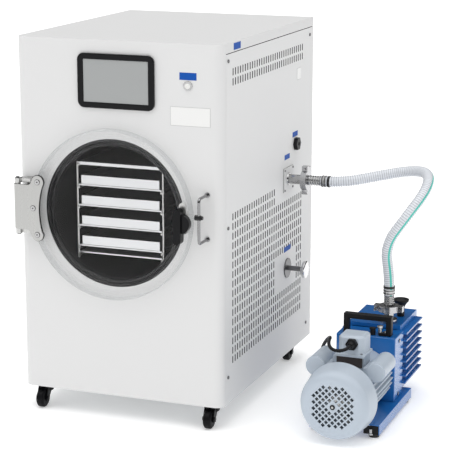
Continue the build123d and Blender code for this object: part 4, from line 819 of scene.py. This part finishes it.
# %% The port's plate
port_plate, port_collar, port_screws = bmesh.new(), bmesh.new(), bmesh.new()
block_into(
    port_plate,
    (side_face, port_y - 30.5, port_z - 26),
    (side_face + 2.4, port_y + 30.5, port_z + 26),
)
keep("port_plate", port_plate, white_coat, "cabinet", edge=0.4)
screw_foot = side_face + 2
rod_into(
    port_collar,
    (screw_foot, port_y, port_z),
    (screw_foot + 2.5, port_y, port_z),
    14,
    end_radius=13,
    sides=36,
)
keep("port_collar", port_collar, turned_steel, "cabinet")
for y in (port_y - 26.5, port_y + 26.5):
    for z in (port_z - 22, port_z + 22):
        rod_into(port_screws, (screw_foot, y, z), (screw_foot + 2.2, y, z), 2.6, end_radius=2.2)
keep("port_screws", port_screws, dark_steel, "cabinet")
print("port plate and its screws")

# %% [markdown]
# Each caster has a black housing around its swivel, wide at the cabinet and narrower towards the
# wheel. It turns with the fork, so it rides on the same body.

# %% Swivel housings
swivel_places = {
    joint["child"]: Vector(joint["pos_m"])
    for joint in frame["record"]["behaviour"]["joints"]
    if joint["name"].startswith("caster_swivel")
}
housing_low, housing_high = 33, 46.5
for body, place in swivel_places.items():
    housing = bmesh.new()
    x, y = (place.x - drawing_origin.x) * 1000, (place.y - drawing_origin.y) * 1000
    post_into(housing, x, y, housing_low, housing_high, 15, end_radius=19.5, sides=32)
    keep("housing_of_" + body, housing, fork_plastic, body, edge=0.8)
print("swivels:", sorted(swivel_places))

# %% [markdown]
# The hinge's plate reaches over the door's edge and ends in two round ears with a screw in each.
# Its
# outline is one flat face: straight at the barrel, round at the ears, and hollow between them
# where it follows the seal. The face is extruded to the sheet's thickness and softened. It stands
# for the plain plate of the frame. A black sheet of nearly the same outline, grown a millimetre to
# the right, lies under it and shows as a dark line beside the plate's edge: a painted shadow.

# %% The eared outline
hinge_x, hinge_y = -216.0, -22.0
chamber_x, chamber_z = -10.0, 438.0
door_front = -29.0
plate_front, plate_rear = door_front - 4, door_front - 1.6
ear_radius, seal_side_radius = 13.5, 154
ear_places = ((-166.0, 498.0), (-168.5, 388.0))
plate_low_z, plate_high_z = 397.0, 491.0


def arc(centre, radius, start, end, steps=12):
    """Points of an arc from one angle to another, in degrees."""
    x, z = centre
    angles = [math.radians(start + (end - start) * step / steps) for step in range(steps + 1)]
    return [(x + radius * math.cos(angle), z + radius * math.sin(angle)) for angle in angles]


def plate_outline(grown):
    """The plate's outline; grown moves its right side out, in millimetres."""
    top, bottom = ear_places
    outline = [(-209, plate_low_z), (-209, plate_high_z)]
    outline += [(-187, plate_high_z), (-182, plate_high_z + 3)]
    outline += arc(top, ear_radius + grown, 165, -15)
    outline += arc((chamber_x, chamber_z), seal_side_radius - grown, 161.5, 196.5)
    outline += arc(bottom, ear_radius + grown, 10, -170)
    outline += [(-186, plate_low_z - 3), (-192, plate_low_z)]
    return outline


def sheet_of(outline, front, rear):
    """A flat outline in the plane of the door, extruded between two depths in millimetres."""
    built = bmesh.new()
    face = built.faces.new([built.verts.new(at(x, front, z)) for x, z in outline])
    grown = bmesh.ops.extrude_face_region(built, geom=[face])
    moved = [part for part in grown["geom"] if isinstance(part, bmesh.types.BMVert)]
    bmesh.ops.translate(built, verts=moved, vec=Vector((0, (rear - front) / 1000, 0)))
    bmesh.ops.recalc_face_normals(built, faces=built.faces)
    return built


# %% The eared hinge plate and its painted shadow
barrel_y = hinge_y - 2
eared_plate = sheet_of(plate_outline(0), plate_front, plate_rear)
block_into(eared_plate, (hinge_x, plate_front, plate_low_z), (-208, plate_rear, plate_high_z))
post_into(eared_plate, hinge_x, barrel_y, plate_low_z, plate_high_z, 7, sides=32)
eared_plate = keep("eared_plate", eared_plate, plate_steel, "door", edge=0.5)
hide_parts("hinge_plate")
# A black sheet grown a millimetre past the plate's edge: painted shadow of the plate.
painted_hinge_shadow = sheet_of(plate_outline(1.0), door_front - 1.8, door_front + 0.1)
keep("painted_hinge_shadow", painted_hinge_shadow, gasket_rubber, "door")
screw_places = (ear_places[0], (-177, 443), ear_places[1])
screw_shade_marks, screw_heads = bmesh.new(), bmesh.new()


def hinge_screw(built, x, z, front, rear, radius, end_radius=None, sides=24):
    """Add a rod across the plate; front and rear are measured out from the door's face."""
    ends = (x, door_front - front, z), (x, door_front - rear, z)
    rod_into(built, *ends, radius, end_radius, sides)


# A dark ring around each screw head and a dark hex on its face: painted shade around the head and
# in its socket.
for x, z in screw_places:
    hinge_screw(screw_shade_marks, x, z, 4.2, 3, 6.2)
    hinge_screw(screw_shade_marks, x, z, 5.7, 5, 2.0, sides=6)
    hinge_screw(screw_heads, x, z, 5.5, 3, 5.2, end_radius=5.4)
keep("hinge_screw_painted_shade", screw_shade_marks, dark_steel, "door")
keep("hinge_screw_heads", screw_heads, turned_steel, "door", edge=0.4)
print("hinge plate outline:", len(plate_outline(0)), "points")

# %% The hinge's bracket and pin
bracket_low, bracket_high = 385.5, 502
wing_left, wing_right = -205, -188
bracket = bmesh.new()
block_into(bracket, (wing_left, -3, 386), (wing_right, 0.2, bracket_high))
for low, high in ((bracket_low, 396.5), (491.5, bracket_high)):
    block_into(bracket, (hinge_x, hinge_y + 2, low + 1), (wing_right, -2, high - 1))
    post_into(bracket, hinge_x, hinge_y, low, high, 6.5, sides=32)
bracket = keep("folded_bracket", bracket, stainless, "cabinet", edge=0.5)
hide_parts("hinge_bracket")
pin_ends = bmesh.new()
post_into(pin_ends, hinge_x, hinge_y, bracket_low - 2, bracket_low + 1, 4)
post_into(pin_ends, hinge_x, hinge_y, bracket_high - 1, bracket_high + 2.5, 4)
keep("hinge_pin_ends", pin_ends, dark_steel, "cabinet")
print("hinge bracket between", bracket_low, "and", bracket_high, "mm")

# %% [markdown]
# The catch is a bent steel bar. A black rubber sleeve on it is what the latch's tongue hooks
# behind, so that steel never rubs on steel.

# %% Rubber sleeve of the catch
sleeve_y, sleeve_z = -45, 455
sleeve = bmesh.new()
rod_into(sleeve, (184.6, sleeve_y, sleeve_z), (197.4, sleeve_y, sleeve_z), 5.4)
rod_into(sleeve, (196, sleeve_y, sleeve_z), (201.4, sleeve_y, sleeve_z), 3.8)
keep("catch_sleeve", sleeve, gasket_rubber, "cabinet", edge=0.6)
print("sleeve on the catch")

# %% [markdown]
# The pump is bought in whole, so it has its own small fittings: a bolt in the middle of the fan's
# grille, caps on the capacitors, a plate on the seat of the terminal box, two small valves on the
# oil case behind the handle, and the screws of the support, the base and the terminal box.

# %% Dark fittings of the pump, and painted shade under its base
motor_x, motor_z = 459, 84.5
valve_y, valve_foot = 240, 166
support_x, support_y = 523, 256.5
support_screw_heights = (154, 38)
dark_parts_and_shade = bmesh.new()
rod_into(dark_parts_and_shade, (motor_x, -5.4, motor_z), (motor_x, -3, motor_z), 5.2)
post_into(dark_parts_and_shade, 470, valve_y, valve_foot, valve_foot + 13, 6)
post_into(dark_parts_and_shade, 470, valve_y, valve_foot + 13, valve_foot + 16, 7.5, sides=6)
block_into(dark_parts_and_shade, (484, valve_y - 6, valve_foot + 0.5), (500, valve_y + 6, valve_foot + 7))
for z in support_screw_heights:
    washer = (support_x - 0.5, support_y, z), (support_x + 0.8, support_y, z)
    rod_into(dark_parts_and_shade, *washer, 4.2)
# A black sheet across the open front end of the base: painted shade for the hollow under it.
block_into(dark_parts_and_shade, (500, 77.0, 8.0), (531.5, 78.2, 25.5))
keep("pump_dark_parts_and_painted_shade", dark_parts_and_shade, matt_black, "cabinet", edge=0.3)
seat_plate = bmesh.new()
block_into(seat_plate, (435, 97.2, 138), (489, 98.4, 160.5))
keep("seat_plate", seat_plate, brown_plate, "cabinet", edge=0.2)
print("dark fittings of the pump")

# %% Bright fittings of the pump
bright_fittings = bmesh.new()
rod_into(bright_fittings, (motor_x, -6.2, motor_z), (motor_x, -5, motor_z), 2.6, sides=6)
post_into(bright_fittings, 486, valve_y, valve_foot, valve_foot + 18, 4.5)
post_into(bright_fittings, 486, valve_y, valve_foot + 18, valve_foot + 22, 6.5, sides=6)
post_into(bright_fittings, 497, valve_y, valve_foot, valve_foot + 11, 3.5)
post_into(bright_fittings, 516, 75, 10, 20, 3.4)
post_into(bright_fittings, 516, 75, 8, 11, 6, sides=6)
for z in support_screw_heights:
    bolt = (support_x, support_y, z), (support_x + 2, support_y, z)
    rod_into(bright_fittings, *bolt, 2.8, sides=6)
for x, y in ((440, 103), (486, 103), (486, 149)):
    post_into(bright_fittings, x, y, 163, 166.3, 2.4)
keep("pump_bright_fittings", bright_fittings, turned_steel, "cabinet", edge=0.2)
print("bright fittings of the pump")

# %% Clips and cuffs of the hose
cuff_radius, clip_radius, ridge_radius = 12.6, 12.4, 12.9
half_ridge = 0.8


def band_at_inlet(built, low, high, radius):
    """Add a band around the hose above the pump's inlet, between two heights."""
    post_into(built, inlet_x, inlet_y, low, high, radius, sides=36)


def band_at_port(built, near, far, radius):
    """Add a band around the hose at the cabinet's port, between two distances to the right."""
    rod_into(built, (near, port_y, port_z), (far, port_y, port_z), radius, sides=36)


cuffs, clips = bmesh.new(), bmesh.new()
band_at_inlet(cuffs, 251, 256, cuff_radius)
band_at_port(cuffs, 318, 323, cuff_radius)
band_at_inlet(clips, 238, 249, clip_radius)
band_at_port(clips, 304, 315, clip_radius)
for z in (240.5, 246.5):
    band_at_inlet(cuffs, z - half_ridge, z + half_ridge, ridge_radius)
for x in (306.5, 312.5):
    band_at_port(cuffs, x - half_ridge, x + half_ridge, ridge_radius)
keep("hose_cuffs", cuffs, gasket_rubber, "cabinet", edge=0.3)
keep("hose_clips", clips, turned_steel, "cabinet", edge=0.3)
print("clips and cuffs of the hose")

# %% Capacitor caps
capacitor_z = 138
caps = bmesh.new()
for x in (396, 522):
    rod_into(caps, (x, 79.4, capacitor_z), (x, 86, capacitor_z), 20.7, sides=48)
    nose = (x, 78.6, capacitor_z), (x, 80, capacitor_z)
    rod_into(caps, *nose, 17.5, end_radius=19.5, sides=48)
keep("capacitor_caps", caps, motor_paint, "cabinet", edge=0.5)
print("capacitor caps")

# %% [markdown]
# The light is that of a product studio with white walls: most of it comes from all around, and two
# very soft lamps give the top and the front a little more. Sun lamps light the whole floor evenly,
# so that it stays white up to the horizon, and a wide angle keeps their shadows soft. The right
# wall is a little dimmer, which parts the cabinet's side from its front. Shiny parts would look
# flat in an even white room, so reflections see a dark band above the floor, as if black cards
# stood around the set.


# %% Studio light
def sun_lamp(name, toward_light, strength, softness):
    """A lamp from far away; softness is the angle that it fills, in degrees."""
    data = bpy.data.lights.new(name, "SUN")
    data.energy = strength
    data.angle = math.radians(softness)
    light = bpy.data.objects.new(name, data)
    light.rotation_euler = Vector(toward_light).to_track_quat("Z", "Y").to_euler()
    scene.collection.objects.link(light)


sun_lamp("key_light", (-0.12, -0.25, 0.96), 0.75, 50)
sun_lamp("side_light", (0.5, -0.15, 0.85), 0.3, 50)

# %% White walls, and dark cards for the reflections
world = bpy.data.worlds.new("studio")
scene.world = world
world.use_nodes = True
tree = world.node_tree
link = tree.links.new
white = {"Color": (1, 1, 1, 1)}
walls = tree.nodes["Background"]
walls.inputs["Color"].default_value = white["Color"]
cards = add_node(tree, "Background", white)
backdrop = add_node(tree, "Background", white)
direction = add_node(tree, "TexCoord")
split_direction = add_node(tree, "SeparateXYZ")
link(direction.outputs["Generated"], split_direction.inputs["Vector"])
dimmer_right = {"From Min": -0.1, "From Max": 0.9, "To Min": 0.92, "To Max": 0.62}
dark_to_bright = {"From Min": 0.45, "From Max": 0.65, "To Min": 0.06, "To Max": 1.2}
for axis, change, room in (("X", dimmer_right, walls), ("Z", dark_to_bright, cards)):
    strength = add_node(tree, "MapRange", change)
    link(split_direction.outputs[axis], strength.inputs["Value"])
    link(strength.outputs["Result"], room.inputs["Strength"])
light_path = add_node(tree, "LightPath")
seen = walls.outputs["Background"]
for ray, room in (("Is Glossy Ray", cards), ("Is Camera Ray", backdrop)):
    choice = add_node(tree, "MixShader")
    link(light_path.outputs[ray], choice.inputs["Fac"])
    link(seen, choice.inputs[1])
    link(room.outputs["Background"], choice.inputs[2])
    seen = choice.outputs["Shader"]
link(seen, tree.nodes["World Output"].inputs["Surface"])
print("world nodes:", len(tree.nodes))

# %% [markdown]
# The floor is a light table: a pale sheet that also glows a little from below. That keeps the
# shadows under the machine faint, as they are in a catalogue picture.

# %% A pale floor
floor_glow = 0.26
grid = bmesh.new()
bmesh.ops.create_grid(grid, x_segments=1, y_segments=1, size=12)
floor_mesh = bpy.data.meshes.new("floor")
grid.to_mesh(floor_mesh)
grid.free()
floor = bpy.data.objects.new("floor", floor_mesh)
scene.collection.objects.link(floor)
pale_floor = finish("pale_floor", (0.94, 0.94, 0.94), 0.9, specular=0.0)
shader_of(pale_floor).inputs["Emission Color"].default_value = (1, 1, 1, 1)
shader_of(pale_floor).inputs["Emission Strength"].default_value = floor_glow
floor.data.materials.append(pale_floor)
scene.view_settings.view_transform = "Standard"
print("floor laid")
